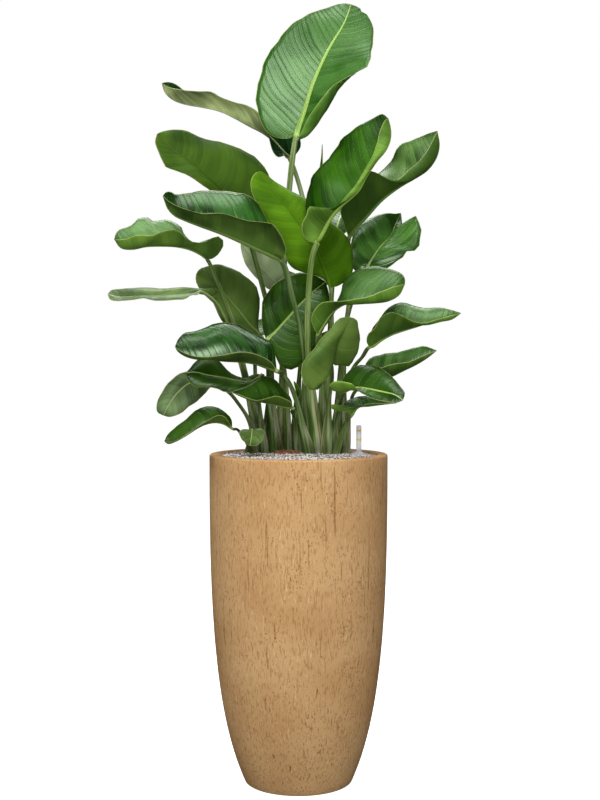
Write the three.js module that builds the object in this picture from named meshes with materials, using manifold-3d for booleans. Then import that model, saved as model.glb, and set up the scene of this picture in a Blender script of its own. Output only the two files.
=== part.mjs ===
import * as THREE from 'three';
import { mergeVertices } from 'three/addons/utils/BufferGeometryUtils.js';
import Module from 'manifold-3d';

// A giant bird of paradise (Strelitzia nicolai) growing in a tall tapered planter.
// Millimetres, +Z up. The origin is the centre of the planter's flat underside, and -Y is the front.

const wasm = await Module();
wasm.setup();

// Planter
const VASE_HEIGHT = 800;
const VASE_RADIUS = 216; // outside, at the rim
const VASE_TAPER = 0.3; // share of the radius lost from rim to foot
const VASE_TUCK = 0.1; // further share lost in the last stretch above the foot
const VASE_WALL = 22;
const VASE_FLOOR = 25;
const RIM_ROUND = 5;
const LIP_SLOPE = 6; // the inner lip slopes in by this much over the same depth
const VASE_SIDES = 44;

// Granulate that fills the planter
const FILL_TOP = 795; // level at the wall
const FILL_MOUND = 4; // how far its middle stands above that level
const GRAIN = 1.4; // depth of the grain relief
const GAP = 0.4; // clearance between pieces that touch
const SOCKET_PLAY = 0.7; // room round the coir and the gauge

// Leaf stalks
const ROOT_DEPTH = 60; // how deep a stalk stands in the granulate
const ROOT_STRAIGHT = 8; // straight stretch above the granulate

// Blades
const BLADE_THICKNESS = 1.6;
const MARGIN_THICKNESS = 1.4;
const BLUNT_TIP = 0.985; // where the margins stop short of the tip, as a share of their length
const KEEL_DEPTH = 7; // how far the midrib stands out below a large blade at its base

// Ball of coir round the roots, showing through the granulate
const COIR_ROWS = 9;
const COIR = { x: -27, y: 4, halfLength: 37, halfWidth: 18, height: 12, sunk: 6 };

// Water gauge
const GAUGE = {
  x: 146,
  y: -10,
  tubeRadius: 6.2,
  tubeWall: 1.2,
  tubeTop: 869,
  collarRadius: 18,
  collarHeight: 12,
  pipeRadius: 8.5,
  pipeBore: 5,
  pipeDepth: 250,
  floatRadius: 4,
  floatLength: 45,
  rodRadius: 1.8,
  sides: 20,
};

const COLOURS = {
  vase: 0xb08d5b,
  granulate: 0xb9b2ae,
  coir: 0x8a5a3c,
  clear: 0xdfe3e6,
  red: 0xb02a20,
  cap: 0xc9c8d4,
  leafDark: 0x2f5a22,
  leaf: 0x3f7a2a,
  leafBright: 0x5c9a2c,
  leafPale: 0x7f9a78,
};

function material(color, roughness, metalness = 0) {
  return new THREE.MeshStandardMaterial({ color, roughness, metalness });
}

function part(name, geometry, finish) {
  geometry.computeVertexNormals();
  const mesh = new THREE.Mesh(geometry, finish);
  mesh.name = name;
  return mesh;
}

// ---- Solids ----------------------------------------------------------------

function toSolid(geometry) {
  const bare = geometry.clone();
  bare.deleteAttribute('normal');
  bare.deleteAttribute('uv');
  const merged = mergeVertices(bare, 1e-4);
  const vertProperties = new Float32Array(merged.attributes.position.array);
  const triVerts = new Uint32Array(merged.index.array);
  return new wasm.Manifold(new wasm.Mesh({ numProp: 3, vertProperties, triVerts }));
}

function toGeometry(solid) {
  const { vertProperties, triVerts } = solid.getMesh();
  const geometry = new THREE.BufferGeometry();
  geometry.setAttribute('position', new THREE.BufferAttribute(vertProperties, 3));
  geometry.setIndex(new THREE.BufferAttribute(triVerts, 1));
  return geometry;
}

// A turned solid: the profile runs from the axis back to the axis, or closes on itself, counter-clockwise
// in (radius, height).
function turned(profile, sides) {
  const points = profile.map(([r, z]) => new THREE.Vector2(r, z));
  return new THREE.LatheGeometry(points, sides).rotateX(Math.PI / 2);
}

// Rings of points, each going round the same way, joined into one closed body. Every ring holds an upper
// row of points and a lower row that runs back below it, so the two faces of a blade get triangles alike.
function lofted(rings) {
  const count = rings[0].length;
  const half = count / 2;
  const at = (ring, k) => ring * count + (k % count);
  const index = [];
  for (let j = 0; j + 1 < rings.length; j++) {
    for (let k = 0; k < count; k++) {
      const [a, b, c, d] = [at(j, k), at(j, k + 1), at(j + 1, k + 1), at(j + 1, k)];
      const lower = k >= half && k < count - 1;
      index.push(...(lower ? [a, b, d, b, c, d] : [a, b, c, a, c, d]));
    }
  }
  const last = rings.length - 1;
  for (let i = 0; i + 1 < half; i++) {
    const under = count - 1 - i;
    index.push(at(0, i), at(0, under), at(0, i + 1), at(0, i + 1), at(0, under), at(0, under - 1));
    index.push(at(last, i), at(last, i + 1), at(last, under));
    index.push(at(last, i + 1), at(last, under - 1), at(last, under));
  }
  const geometry = new THREE.BufferGeometry();
  const position = rings.flat().flatMap((p) => [p.x, p.y, p.z]);
  geometry.setAttribute('position', new THREE.Float32BufferAttribute(position, 3));
  geometry.setIndex(index);
  return geometry;
}

// ---- Leaves ----------------------------------------------------------------

// Stations across a blade, from the left margin over the midrib (0) to the right margin.
const ACROSS = {
  large: [-1, -0.6, -0.14, 0, 0.14, 0.6, 1],
  small: [-1, -0.4, 0, 0.4, 1],
};
// Stations along a blade from its base (0) to its tip (1), and along its stalk.
const BLADE_STATIONS = {
  large: [0.03, 0.09, 0.19, 0.32, 0.46, 0.6, 0.74, 0.86, 0.95, 1],
  small: [0.04, 0.14, 0.3, 0.5, 0.7, 0.87, 1],
};
const STALK_STATIONS = { large: 6, small: 5 };

// A value that changes along the blade: one number, or several at equal steps from base to tip.
function along(value, t) {
  if (!Array.isArray(value)) return value;
  if (value.length === 1) return value[0];
  const place = Math.min(t, 0.999) * (value.length - 1);
  const step = Math.floor(place);
  return THREE.MathUtils.lerp(value[step], value[step + 1], place - step);
}

function vectorAlong(vectors, t) {
  const at = (k) => along(vectors.map((vector) => vector[k]), t);
  return new THREE.Vector3(at(0), at(1), at(2));
}

// Axes of a cross-section: tangent along the leaf, normal out of its upper side, right hand side.
function axesOf(tangent, face) {
  const normal = face.clone().addScaledVector(tangent, -face.dot(tangent)).normalize();
  return { normal, right: new THREE.Vector3().crossVectors(tangent, normal) };
}

function stalkRing(centre, axes, halfWidth, halfDepth, rows) {
  const ring = [];
  for (let k = 0; k < 2 * rows; k++) {
    const angle = Math.PI * (1 - (k + 0.5) / rows);
    const point = centre.clone().addScaledVector(axes.right, halfWidth * Math.cos(angle));
    ring.push(point.addScaledVector(axes.normal, halfDepth * Math.sin(angle)));
  }
  return ring;
}

// Half of a blade's cross-section. It leaves the midrib at the angle lift and bends by curl degrees
// towards its margin, more sharply the further out it is.
function reach(s, width, lift, curl) {
  const steps = 12;
  let [out, up] = [0, 0];
  for (let k = 0; k < steps; k++) {
    const angle = THREE.MathUtils.degToRad(lift + curl * ((k + 0.5) / steps * s) ** 2);
    out += (width * s / steps) * Math.cos(angle);
    up += (width * s / steps) * Math.sin(angle);
  }
  return { out, up, slope: THREE.MathUtils.degToRad(lift + curl * s * s) };
}

// Share of the full half width at a station along one side of the blade.
function outline(leaf, side, t) {
  const power = Math.log(0.5) / Math.log(leaf.widest[side]);
  return Math.max(Math.sin(Math.PI * t ** power), 0) ** leaf.fullness[side];
}

function bladeRing(centre, tangent, axes, t, leaf, length, across) {
  const upper = [];
  const lower = [];
  for (const s of across) {
    const side = s < 0 ? 0 : 1;
    const sign = s < 0 ? -1 : 1;
    const share = outline(leaf, side, t);
    const width = Math.max(leaf.half[side] * share, BLADE_THICKNESS);
    const lift = along(leaf.lift[side], t);
    const { out, up, slope } = reach(Math.abs(s), width, lift, along(leaf.curl[side], t));
    const back = leaf.lobe[side] * length * s * s * share * (1 - t) ** 2;
    const point = centre.clone().addScaledVector(axes.right, sign * out).addScaledVector(axes.normal, up);
    point.addScaledVector(tangent, -back);
    const normal = axes.normal.clone().multiplyScalar(Math.cos(slope));
    normal.addScaledVector(axes.right, -sign * Math.sin(slope));
    if (s === 0) normal.copy(axes.normal);
    const thickness = THREE.MathUtils.lerp(BLADE_THICKNESS, MARGIN_THICKNESS, Math.abs(s));
    const keel = s === 0 ? leaf.keel * (1 - t) : 0;
    upper.push(point.clone().addScaledVector(normal, thickness / 2));
    lower.unshift(point.addScaledVector(normal, -thickness / 2 - keel));
  }
  return [...upper, ...lower];
}

// One half of a blade that is given by its margin: each section runs from the midrib to the margin and
// bulges out of the upper side by the length bulge.
function edgedHalf(centre, tangent, margin, side, t, leaf, s) {
  const sign = side ? 1 : -1;
  const place = Math.min(t, BLUNT_TIP);
  const across = margin.getPointAt(place).sub(centre).multiplyScalar(sign);
  const out = new THREE.Vector3().crossVectors(across, tangent).normalize();
  const bulge = along(leaf.bulge[side], t) * Math.sin(Math.PI * t);
  const point = centre.clone().addScaledVector(across, sign * s);
  point.addScaledVector(out, bulge * 4 * s * (1 - s));
  const ahead = tangent.clone().multiplyScalar(1.3 - s).addScaledVector(margin.getTangentAt(place), s);
  const slant = across.clone().addScaledVector(out, sign * bulge * 4 * (1 - 2 * s));
  return { point, normal: slant.cross(ahead).normalize() };
}

function edgedRing(centre, tangent, axes, t, leaf, margins, across) {
  const upper = [];
  const lower = [];
  for (const s of across) {
    const side = s < 0 ? 0 : 1;
    const { point, normal } = edgedHalf(centre, tangent, margins[side], side, t, leaf, Math.abs(s));
    if (s === 0) normal.copy(axes.normal);
    point.addScaledVector(axes.right, 0.8 * BLADE_THICKNESS * s);
    const thickness = THREE.MathUtils.lerp(BLADE_THICKNESS, MARGIN_THICKNESS, Math.abs(s));
    const keel = s === 0 ? leaf.keel * (1 - t) : 0;
    upper.push(point.clone().addScaledVector(normal, thickness / 2));
    lower.unshift(point.addScaledVector(normal, -thickness / 2 - keel));
  }
  return [...upper, ...lower];
}

// One whole leaf, from its root in the granulate over the stalk to the tip of its blade.
function leafSolid(leaf) {
  const across = ACROSS[leaf.grade];
  const rows = across.length;
  const foot = new THREE.Vector3(leaf.root[0], leaf.root[1], FILL_TOP + ROOT_STRAIGHT);
  const vectors = [...leaf.stalk, ...leaf.rib].map((p) => new THREE.Vector3(...p));
  const path = new THREE.CatmullRomCurve3([foot, ...vectors], false, 'centripetal');
  const perSpan = 20;
  path.arcLengthDivisions = perSpan * vectors.length;
  const lengths = path.getLengths();
  const total = lengths[lengths.length - 1];
  const neck = lengths[perSpan * leaf.stalk.length] / total;
  const bladeLength = total * (1 - neck);

  const up = new THREE.Vector3(0, 0, 1);
  const baseFace = new THREE.Vector3(0, Math.sign(leaf.face[0][1]) || -1, 0);
  const baseAxes = axesOf(up, baseFace);
  const [sheathWidth, sheathDepth, sheathLength] = leaf.sheath;
  const rings = [
    stalkRing(foot.clone().setZ(FILL_TOP - ROOT_DEPTH), baseAxes, sheathWidth, sheathDepth, rows),
    stalkRing(foot, baseAxes, sheathWidth, sheathDepth, rows),
  ];
  const stations = STALK_STATIONS[leaf.grade];
  for (let j = 1; j <= stations; j++) {
    const u = neck * (j / stations) ** 1.2;
    const tangent = path.getTangentAt(u);
    const face = baseFace.clone().lerp(vectorAlong(leaf.face, 0), u / neck);
    const open = THREE.MathUtils.smoothstep(u * total, 0, sheathLength);
    const halfWidth = THREE.MathUtils.lerp(sheathWidth, leaf.neckRadius, open);
    const halfDepth = THREE.MathUtils.lerp(sheathDepth, leaf.neckRadius * 0.9, open);
    rings.push(stalkRing(path.getPointAt(u), axesOf(tangent, face), halfWidth, halfDepth, rows));
  }
  const ends = [vectors[leaf.stalk.length - 1], vectors[vectors.length - 1]];
  const margins = leaf.margins && leaf.margins.map((points) => {
    const inner = points.map((p) => new THREE.Vector3(...p));
    return new THREE.CatmullRomCurve3([ends[0], ...inner, ends[1]], false, 'centripetal');
  });
  for (const t of BLADE_STATIONS[leaf.grade]) {
    const u = neck + (1 - neck) * t;
    const centre = path.getPointAt(u);
    const tangent = path.getTangentAt(u);
    if (margins) {
      const reached = THREE.MathUtils.clamp(t, 0.12, 0.9);
      const [left, right] = margins.map((margin) => margin.getPointAt(reached));
      const axes = axesOf(tangent, right.sub(left).cross(tangent));
      rings.push(edgedRing(centre, tangent, axes, t, leaf, margins, across));
    } else {
      const axes = axesOf(tangent, vectorAlong(leaf.face, t));
      rings.push(bladeRing(centre, tangent, axes, t, leaf, bladeLength, across));
    }
  }
  return lofted(rings);
}

// What a leaf has unless its own entry says otherwise. Angles are in degrees, and pairs are left, right
// as seen from above the upper side with the tip ahead.
const LEAF = {
  grade: 'small',
  finish: 'leaf',
  sheath: [9, 8, 200], // half width, half depth and length of the sheathing foot of the stalk
  neckRadius: 5,
  widest: [0.42, 0.42], // share of the blade's length at which each half is widest
  fullness: [0.6, 0.6], // below 1 a half is blunt at its base and tip
  lobe: [0.15, 0.15], // how far the blade's shoulders reach back beside the stalk
  lift: [10, 10],
  curl: [0, 0],
  keel: 3,
};

// root: where the stalk leaves the granulate. stalk: points up to the neck, its last one. rib: points
// from the neck to the tip. face: the way the upper side looks at the neck, the middle and the tip.
// margins: points along the left and right margin, for a blade whose halves are folded or twisted.
// bulge: how far each half then bows out of its upper side, from base to tip.
const LEAVES = {
  leaf_crown: {
    grade: 'large', finish: 'leafDark', sheath: [21.5, 10, 240], neckRadius: 7, keel: KEEL_DEPTH,
    root: [-38, 112],
    stalk: [[-39, 90, 1175], [-23, 70, 1445], [-6, 60, 1573]],
    rib: [[15, 66, 1640], [35, 75, 1705], [73, 90, 1791], [115, 105, 1866], [130, 112, 1911]],
    face: [[-0.2, -1, 0.25], [-0.1, -1, 0.3], [0, -0.9, 0.5]],
    half: [131, 138], lift: [[10, 5, 0], [5, 10, 5]], curl: [[0, 10, 10], [200, 185, 30, 0, 0]],
    fullness: [0.5, 0.5],
  },
  leaf_upper_left: {
    grade: 'large', sheath: [17.5, 9, 240], neckRadius: 6, keel: KEEL_DEPTH,
    root: [12, 88],
    stalk: [[23, 86, 1101], [33, 114, 1326], [9, 134, 1439], [-22, 142, 1531]],
    rib: [
      [-39, 141, 1551], [-64, 136, 1578], [-91, 129, 1598], [-121, 119, 1612], [-158, 107, 1630],
      [-194, 95, 1644], [-236, 84, 1651], [-279, 73, 1656], [-310, 63, 1666], [-327, 56, 1682],
      [-334, 52, 1703]
    ],
    face: [[0.15, 0.3, 1]],
    margins: [
      [
        [-34, 125, 1537], [-51, 115, 1532], [-64, 108, 1546], [-71, 102, 1570], [-78, 94, 1598],
        [-98, 87, 1634], [-122, 77, 1652], [-156, 67, 1659], [-187, 58, 1668], [-214, 49, 1681],
        [-247, 42, 1681], [-281, 39, 1684], [-308, 39, 1689], [-323, 42, 1694]
      ],
      [
        [-6, 150, 1545], [6, 158, 1569], [1, 163, 1592], [-27, 162, 1612], [-67, 154, 1636],
        [-109, 143, 1651], [-159, 127, 1658], [-208, 110, 1670], [-251, 97, 1678], [-280, 85, 1690],
        [-301, 73, 1704], [-320, 62, 1708]
      ],
    ],
    bulge: [6, 4],
  },
  leaf_left_high: {
    grade: 'large', sheath: [11.5, 9, 240], neckRadius: 6, keel: KEEL_DEPTH,
    root: [-26, 52],
    stalk: [[-36, 45, 1003], [-52, 35, 1076], [-79, 22, 1173], [-113, 8, 1298], [-133, -20, 1358]],
    rib: [
      [-159, -30, 1398], [-182, -40, 1427], [-210, -48, 1455], [-240, -57, 1484], [-268, -65, 1506],
      [-296, -72, 1522], [-316, -76, 1540], [-332, -80, 1559]
    ],
    face: [[0.5, 0.75, 0.6]],
    margins: [
      [
        [-93, 0, 1382], [-59, 8, 1421], [-67, 15, 1460], [-86, 17, 1497], [-115, 13, 1522],
        [-151, 5, 1541], [-189, -7, 1551], [-228, -22, 1557], [-263, -38, 1569], [-293, -54, 1572],
        [-320, -68, 1567]
      ],
      [
        [-172, -50, 1384], [-202, -65, 1422], [-225, -78, 1439], [-255, -87, 1459], [-287, -92, 1472],
        [-312, -95, 1481], [-319, -96, 1493], [-328, -95, 1517], [-335, -92, 1540]
      ],
    ],
    bulge: [-10, -6],
  },
  leaf_left_gutter: {
    grade: 'large', finish: 'leafDark', sheath: [21.5, 10, 240], neckRadius: 7.5, keel: KEEL_DEPTH,
    root: [23, 55],
    stalk: [[18, 20, 932], [17, -35, 1027], [7, -75, 1094], [-16, -135, 1183], [-40, -180, 1257]],
    rib: [
      [-65, -184, 1270], [-92, -188, 1281], [-133, -193, 1299], [-178, -198, 1317], [-223, -204, 1332],
      [-254, -209, 1343], [-279, -212, 1354], [-294, -214, 1369], [-301, -214, 1385], [-306, -212, 1399]
    ],
    face: [[0, -0.3, 1]],
    margins: [
      [
        [-33, -205, 1262], [-27, -217, 1277], [-32, -228, 1294], [-43, -236, 1313], [-57, -243, 1333],
        [-79, -249, 1337], [-108, -253, 1338], [-130, -255, 1344], [-152, -255, 1352],
        [-179, -252, 1356], [-208, -248, 1355], [-242, -242, 1363], [-270, -234, 1373],
        [-291, -225, 1385]
      ],
      [
        [-45, -165, 1285], [-63, -155, 1327], [-77, -147, 1362], [-91, -142, 1386], [-110, -141, 1403],
        [-128, -142, 1412], [-158, -145, 1416], [-190, -152, 1416], [-217, -160, 1418],
        [-248, -170, 1410], [-279, -183, 1406], [-291, -195, 1411], [-301, -205, 1408]
      ],
    ],
    bulge: [[6, 14, 14, 8], [4, 8, 8, 4]],
  },
  leaf_centre_bright: {
    grade: 'large', finish: 'leafBright', sheath: [21.5, 9, 220], neckRadius: 5.5, keel: KEEL_DEPTH,
    root: [52, 85],
    stalk: [[67, 45, 929], [80, 0, 1075], [79, -30, 1147], [77, -50, 1199]],
    rib: [
      [61, -60, 1241], [39, -75, 1294], [11, -90, 1333], [-24, -105, 1380], [-62, -118, 1425],
      [-92, -125, 1466]
    ],
    face: [[0.3, 0.85, 0.4]],
    margins: [
      [
        [99, -30, 1207], [124, -23, 1226], [131, -22, 1262], [128, -26, 1298], [109, -37, 1324],
        [80, -48, 1353], [51, -59, 1385], [20, -73, 1406], [-20, -87, 1424], [-53, -100, 1443],
        [-76, -112, 1460]
      ],
      [
        [66, -50, 1215], [46, -60, 1227], [11, -73, 1234], [-18, -87, 1250], [-36, -101, 1285],
        [-52, -112, 1319], [-71, -122, 1351], [-94, -131, 1387], [-107, -136, 1414], [-110, -137, 1437],
        [-103, -135, 1456]
      ],
    ],
    bulge: [-14, -10],
  },
  leaf_right_raised: {
    grade: 'large', sheath: [21.5, 11, 260], neckRadius: 7, keel: KEEL_DEPTH,
    root: [45, 30],
    stalk: [[32, -15, 932], [22, -85, 1075], [24, -135, 1190], [31, -172, 1257], [42, -195, 1294]],
    rib: [
      [56, -192, 1322], [72, -189, 1351], [93, -181, 1377], [118, -173, 1398], [139, -164, 1418],
      [155, -156, 1448], [179, -149, 1484], [202, -140, 1512], [213, -131, 1539], [214, -120, 1564],
      [209, -107, 1591]
    ],
    face: [[-0.5, -0.85, 0.2]],
    margins: [
      [
        [24, -165, 1322], [17, -148, 1362], [18, -130, 1399], [25, -112, 1431], [36, -95, 1458],
        [53, -88, 1485], [74, -80, 1507], [93, -78, 1526], [102, -75, 1545], [126, -80, 1567],
        [151, -85, 1582], [174, -92, 1594], [195, -100, 1603]
      ],
      [
        [24, -205, 1298], [8, -210, 1316], [8, -215, 1338], [19, -218, 1358], [24, -218, 1375],
        [32, -210, 1370], [42, -202, 1362], [63, -194, 1368], [83, -185, 1370], [106, -174, 1398],
        [130, -164, 1431], [153, -154, 1469], [169, -145, 1498], [181, -136, 1527], [189, -127, 1560],
        [199, -118, 1582]
      ],
    ],
    bulge: [12, [0, -4, -2, -4, -6, -8, -4]],
  },
  leaf_upper_right: {
    grade: 'large', finish: 'leafDark', sheath: [17.5, 8, 220], neckRadius: 6, keel: KEEL_DEPTH,
    root: [110, 75],
    stalk: [[109, 60, 928], [116, 40, 1100], [125, 22, 1197], [122, 0, 1322]],
    rib: [
      [139, 0, 1348], [163, 0, 1374], [199, 0, 1413], [245, 3, 1447], [281, 7, 1467], [311, 10, 1486],
      [333, 13, 1515], [341, 17, 1547], [336, 20, 1582]
    ],
    face: [[-0.3, 0, 1]],
    margins: [
      [
        [130, 30, 1363], [141, 50, 1406], [166, 65, 1449], [196, 75, 1487], [218, 75, 1507],
        [235, 70, 1526], [242, 60, 1544], [253, 50, 1554], [279, 40, 1563], [310, 30, 1576]
      ],
      [
        [109, -20, 1351], [101, -36, 1385], [122, -49, 1415], [146, -59, 1449], [169, -57, 1476],
        [189, -51, 1469], [209, -39, 1460], [236, -26, 1458], [260, -14, 1481], [290, -4, 1506],
        [312, 4, 1536], [325, 10, 1561]
      ],
    ],
    bulge: [8, [-6, -10, -8]],
  },
  leaf_right_back: {
    grade: 'large', finish: 'leafDark', sheath: [11.5, 8, 220], neckRadius: 5.5, keel: KEEL_DEPTH,
    root: [93, 88],
    stalk: [[98, 80, 928], [115, 82, 1101], [137, 80, 1187], [167, 72, 1254]],
    rib: [
      [185, 91, 1282], [206, 118, 1311], [233, 148, 1339], [244, 172, 1366], [253, 186, 1385],
      [261, 190, 1401]
    ],
    face: [[0, -0.8, 0.6]],
    margins: [
      [
        [144, 70, 1244], [129, 70, 1268], [130, 81, 1306], [138, 100, 1342], [156, 125, 1368],
        [185, 150, 1387], [222, 171, 1398], [248, 185, 1398]
      ],
      [
        [194, 80, 1247], [217, 83, 1253], [239, 85, 1269], [262, 88, 1284], [269, 92, 1297],
        [295, 97, 1301], [302, 103, 1323], [306, 112, 1346], [299, 120, 1374], [289, 128, 1393],
        [293, 138, 1373], [284, 148, 1356], [265, 162, 1345], [263, 175, 1369]
      ],
    ],
    bulge: [10, 6],
  },
  leaf_right_folded: {
    sheath: [17.5, 8, 200], neckRadius: 5.5, keel: 4,
    root: [62, 58],
    stalk: [[57, 20, 931], [54, -50, 1016], [46, -125, 1086]],
    rib: [
      [62, -132, 1116], [82, -139, 1142], [108, -144, 1158], [142, -148, 1159], [177, -151, 1160],
      [207, -154, 1164], [232, -156, 1178], [245, -158, 1203]
    ],
    face: [[0, -0.2, 1]],
    margins: [
      [
        [69, -120, 1116], [90, -110, 1149], [100, -102, 1178], [105, -95, 1206], [121, -92, 1229],
        [145, -92, 1244], [175, -95, 1247], [207, -105, 1241], [237, -118, 1231], [246, -135, 1220]
      ],
      [
        [36, -145, 1102], [30, -158, 1125], [38, -168, 1145], [54, -175, 1159], [79, -177, 1163],
        [109, -177, 1166], [141, -176, 1170], [164, -173, 1175], [189, -170, 1186], [217, -166, 1196]
      ],
    ],
    bulge: [8, -6],
  },
  leaf_right_long: {
    sheath: [13.5, 8, 180], neckRadius: 5, keel: 4,
    root: [92, 56],
    stalk: [[96, 35, 906], [133, 0, 1008], [154, -15, 1035], [168, -60, 1058]],
    rib: [
      [177, -60, 1061], [196, -61, 1075], [220, -62, 1088], [246, -64, 1097], [277, -65, 1106],
      [305, -65, 1114], [336, -65, 1119], [364, -64, 1124], [386, -62, 1139]
    ],
    face: [[0, -0.2, 1]],
    margins: [
      [
        [169, -50, 1082], [178, -37, 1104], [191, -25, 1123], [206, -15, 1142], [225, -12, 1157],
        [247, -13, 1164], [275, -20, 1159], [310, -30, 1152], [345, -41, 1152], [366, -52, 1146]
      ],
      [
        [161, -75, 1073], [165, -88, 1091], [180, -99, 1105], [191, -109, 1126], [205, -111, 1136],
        [221, -111, 1139], [245, -106, 1131], [269, -100, 1120], [295, -94, 1115], [322, -86, 1123],
        [349, -78, 1130], [373, -70, 1136]
      ],
    ],
    bulge: [6, -6],
  },
  leaf_right_low: {
    sheath: [13.5, 8, 120], neckRadius: 4.5,
    root: [114, 45],
    stalk: [[120, 28, 870], [128, 5, 932], [151, -58, 966]],
    rib: [
      [185, -59, 977], [222, -61, 989], [253, -62, 1004], [279, -62, 1016], [306, -61, 1032],
      [329, -60, 1050]
    ],
    face: [[0, -0.2, 1]],
    margins: [
      [
        [152, -50, 994], [162, -36, 1020], [177, -28, 1034], [198, -26, 1040], [237, -29, 1044],
        [260, -37, 1052], [297, -46, 1061], [316, -55, 1055]
      ],
      [
        [160, -72, 987], [181, -87, 1006], [201, -95, 1012], [227, -95, 1019], [258, -88, 1024],
        [287, -78, 1035], [312, -66, 1045]
      ],
    ],
    bulge: [5, -4],
  },
  leaf_front_right: {
    finish: 'leafDark', sheath: [11.5, 8, 100], neckRadius: 5, keel: 4,
    root: [85, 24],
    stalk: [[90, 2, 860], [98, -45, 915], [109, -120, 955]],
    rib: [[136, -138, 964], [165, -160, 961], [196, -182, 955], [220, -200, 949], [238, -206, 937]],
    face: [[0, -0.35, 1]],
    margins: [
      [
        [102, -105, 967], [107, -95, 985], [121, -92, 1004], [140, -95, 1014], [158, -108, 1015],
        [183, -125, 1013], [203, -145, 1003], [220, -165, 984], [235, -183, 963], [242, -200, 951]
      ],
      [
        [83, -140, 956], [71, -152, 966], [75, -162, 976], [91, -168, 980], [112, -172, 978],
        [128, -175, 973], [141, -181, 957], [161, -188, 944], [184, -195, 936], [206, -201, 933],
        [226, -206, 932]
      ],
    ],
    bulge: [6, [-8, -16, -12, -6, 0]],
  },
  leaf_front_right_small: {
    sheath: [10.5, 6, 80], neckRadius: 4,
    root: [92, 2],
    stalk: [[104, -15, 849], [115, -30, 880], [127, -80, 897]],
    rib: [[139, -78, 914], [162, -74, 922], [196, -70, 924], [234, -66, 925]],
    face: [[0, -0.4, 1]],
    margins: [
      [[110, -70, 909], [108, -58, 923], [128, -50, 937], [161, -52, 942], [204, -58, 935]],
      [
        [108, -88, 906], [84, -95, 909], [74, -99, 920], [81, -99, 927], [100, -96, 915],
        [126, -91, 917], [150, -85, 917], [184, -76, 921]
      ],
    ],
    bulge: [3, -3],
  },
  leaf_front_twisted: {
    grade: 'large', sheath: [15.5, 8, 160], neckRadius: 4.5, keel: 3,
    root: [68, 8],
    stalk: [[74, -40, 933], [80, -75, 988], [76, -125, 1047]],
    rib: [[87, -148, 1067], [103, -150, 1090], [117, -145, 1111], [129, -138, 1125]],
    face: [[-0.1, 0.9, 0.4]],
    margins: [
      [
        [81, -118, 1018], [99, -115, 1016], [116, -112, 1014], [130, -112, 1028], [142, -114, 1054],
        [144, -119, 1079], [139, -124, 1102], [136, -130, 1119]
      ],
      [
        [71, -150, 1021], [64, -162, 991], [54, -173, 968], [38, -180, 957], [22, -186, 962],
        [10, -188, 978], [6, -189, 1005], [12, -186, 1026], [24, -182, 1040], [40, -177, 1058],
        [56, -169, 1081], [75, -161, 1099], [91, -154, 1121], [110, -148, 1127]
      ],
    ],
    bulge: [-6, [-8, -16, -14, -4]],
  },
  leaf_centre_dark: {
    grade: 'large', finish: 'leafDark', sheath: [19.5, 10, 220], neckRadius: 6, keel: KEEL_DEPTH,
    root: [-55, 44],
    stalk: [[-69, 32, 931], [-73, 20, 1003], [-76, -14, 1073]],
    rib: [[-54, -12, 1097], [-30, -10, 1124], [4, -8, 1162], [37, -5, 1194], [66, 0, 1216]],
    face: [[0.3, -0.9, 0.3]],
    margins: [
      [
        [-85, -8, 1097], [-88, -3, 1133], [-86, 1, 1172], [-69, 3, 1199], [-40, 3, 1222], [-4, 1, 1236],
        [33, -2, 1234]
      ],
      [
        [-59, -16, 1044], [-40, -18, 1008], [-8, -18, 1008], [23, -15, 1034], [52, -12, 1083],
        [71, -8, 1138], [75, -4, 1179]
      ],
    ],
    bulge: [6, 6],
  },
  leaf_left_round: {
    grade: 'large', sheath: [11.5, 9, 200], neckRadius: 5.5, keel: 5,
    root: [-81, 62],
    stalk: [[-65, 60, 928], [-77, 51, 1027], [-90, 40, 1081]],
    rib: [[-119, 30, 1112], [-145, 25, 1146], [-172, 22, 1178], [-204, 26, 1219], [-228, 34, 1254]],
    face: [[0.5, 0.8, 0.3]],
    margins: [
      [
        [-100, 55, 1108], [-97, 59, 1142], [-95, 61, 1177], [-110, 60, 1210], [-136, 55, 1236],
        [-168, 48, 1253], [-199, 40, 1261]
      ],
      [
        [-126, 30, 1078], [-164, 17, 1097], [-190, 8, 1129], [-205, 2, 1163], [-229, 2, 1187],
        [-246, 7, 1211], [-249, 13, 1231], [-240, 22, 1248]
      ],
    ],
    bulge: [-8, -5],
  },
  leaf_left_curly: {
    sheath: [9, 8, 220], neckRadius: 5, keel: 4,
    root: [-74, 92],
    stalk: [[-106, 60, 906], [-137, 30, 1027], [-160, 5, 1123], [-202, -22, 1231], [-219, -30, 1269]],
    rib: [
      [-236, -34, 1282], [-259, -39, 1292], [-287, -44, 1298], [-325, -50, 1299], [-362, -54, 1297],
      [-393, -58, 1290], [-421, -60, 1293], [-437, -60, 1314]
    ],
    face: [[0, -0.45, 0.9]],
    margins: [
      [
        [-204, -45, 1269], [-187, -54, 1282], [-178, -61, 1302], [-183, -66, 1317], [-195, -69, 1321],
        [-214, -70, 1310], [-240, -72, 1304], [-261, -75, 1311], [-277, -79, 1328], [-298, -83, 1335],
        [-326, -85, 1331], [-349, -85, 1322], [-378, -84, 1322], [-404, -80, 1313], [-424, -75, 1311]
      ],
      [
        [-237, -18, 1296], [-261, -10, 1316], [-276, -3, 1332], [-286, 1, 1348], [-306, 4, 1358],
        [-323, 4, 1365], [-344, 3, 1365], [-365, -3, 1375], [-384, -12, 1366], [-401, -25, 1348],
        [-424, -35, 1339], [-435, -45, 1329]
      ],
    ],
    bulge: [[-6, -4, -6, -5], 5],
  },
  leaf_left_flat: {
    sheath: [9, 8, 200], neckRadius: 4.5,
    root: [-100, 88],
    stalk: [[-119, 65, 905], [-142, 40, 1015], [-176, -10, 1123], [-200, -33, 1167], [-235, -43, 1191]],
    rib: [
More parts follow.
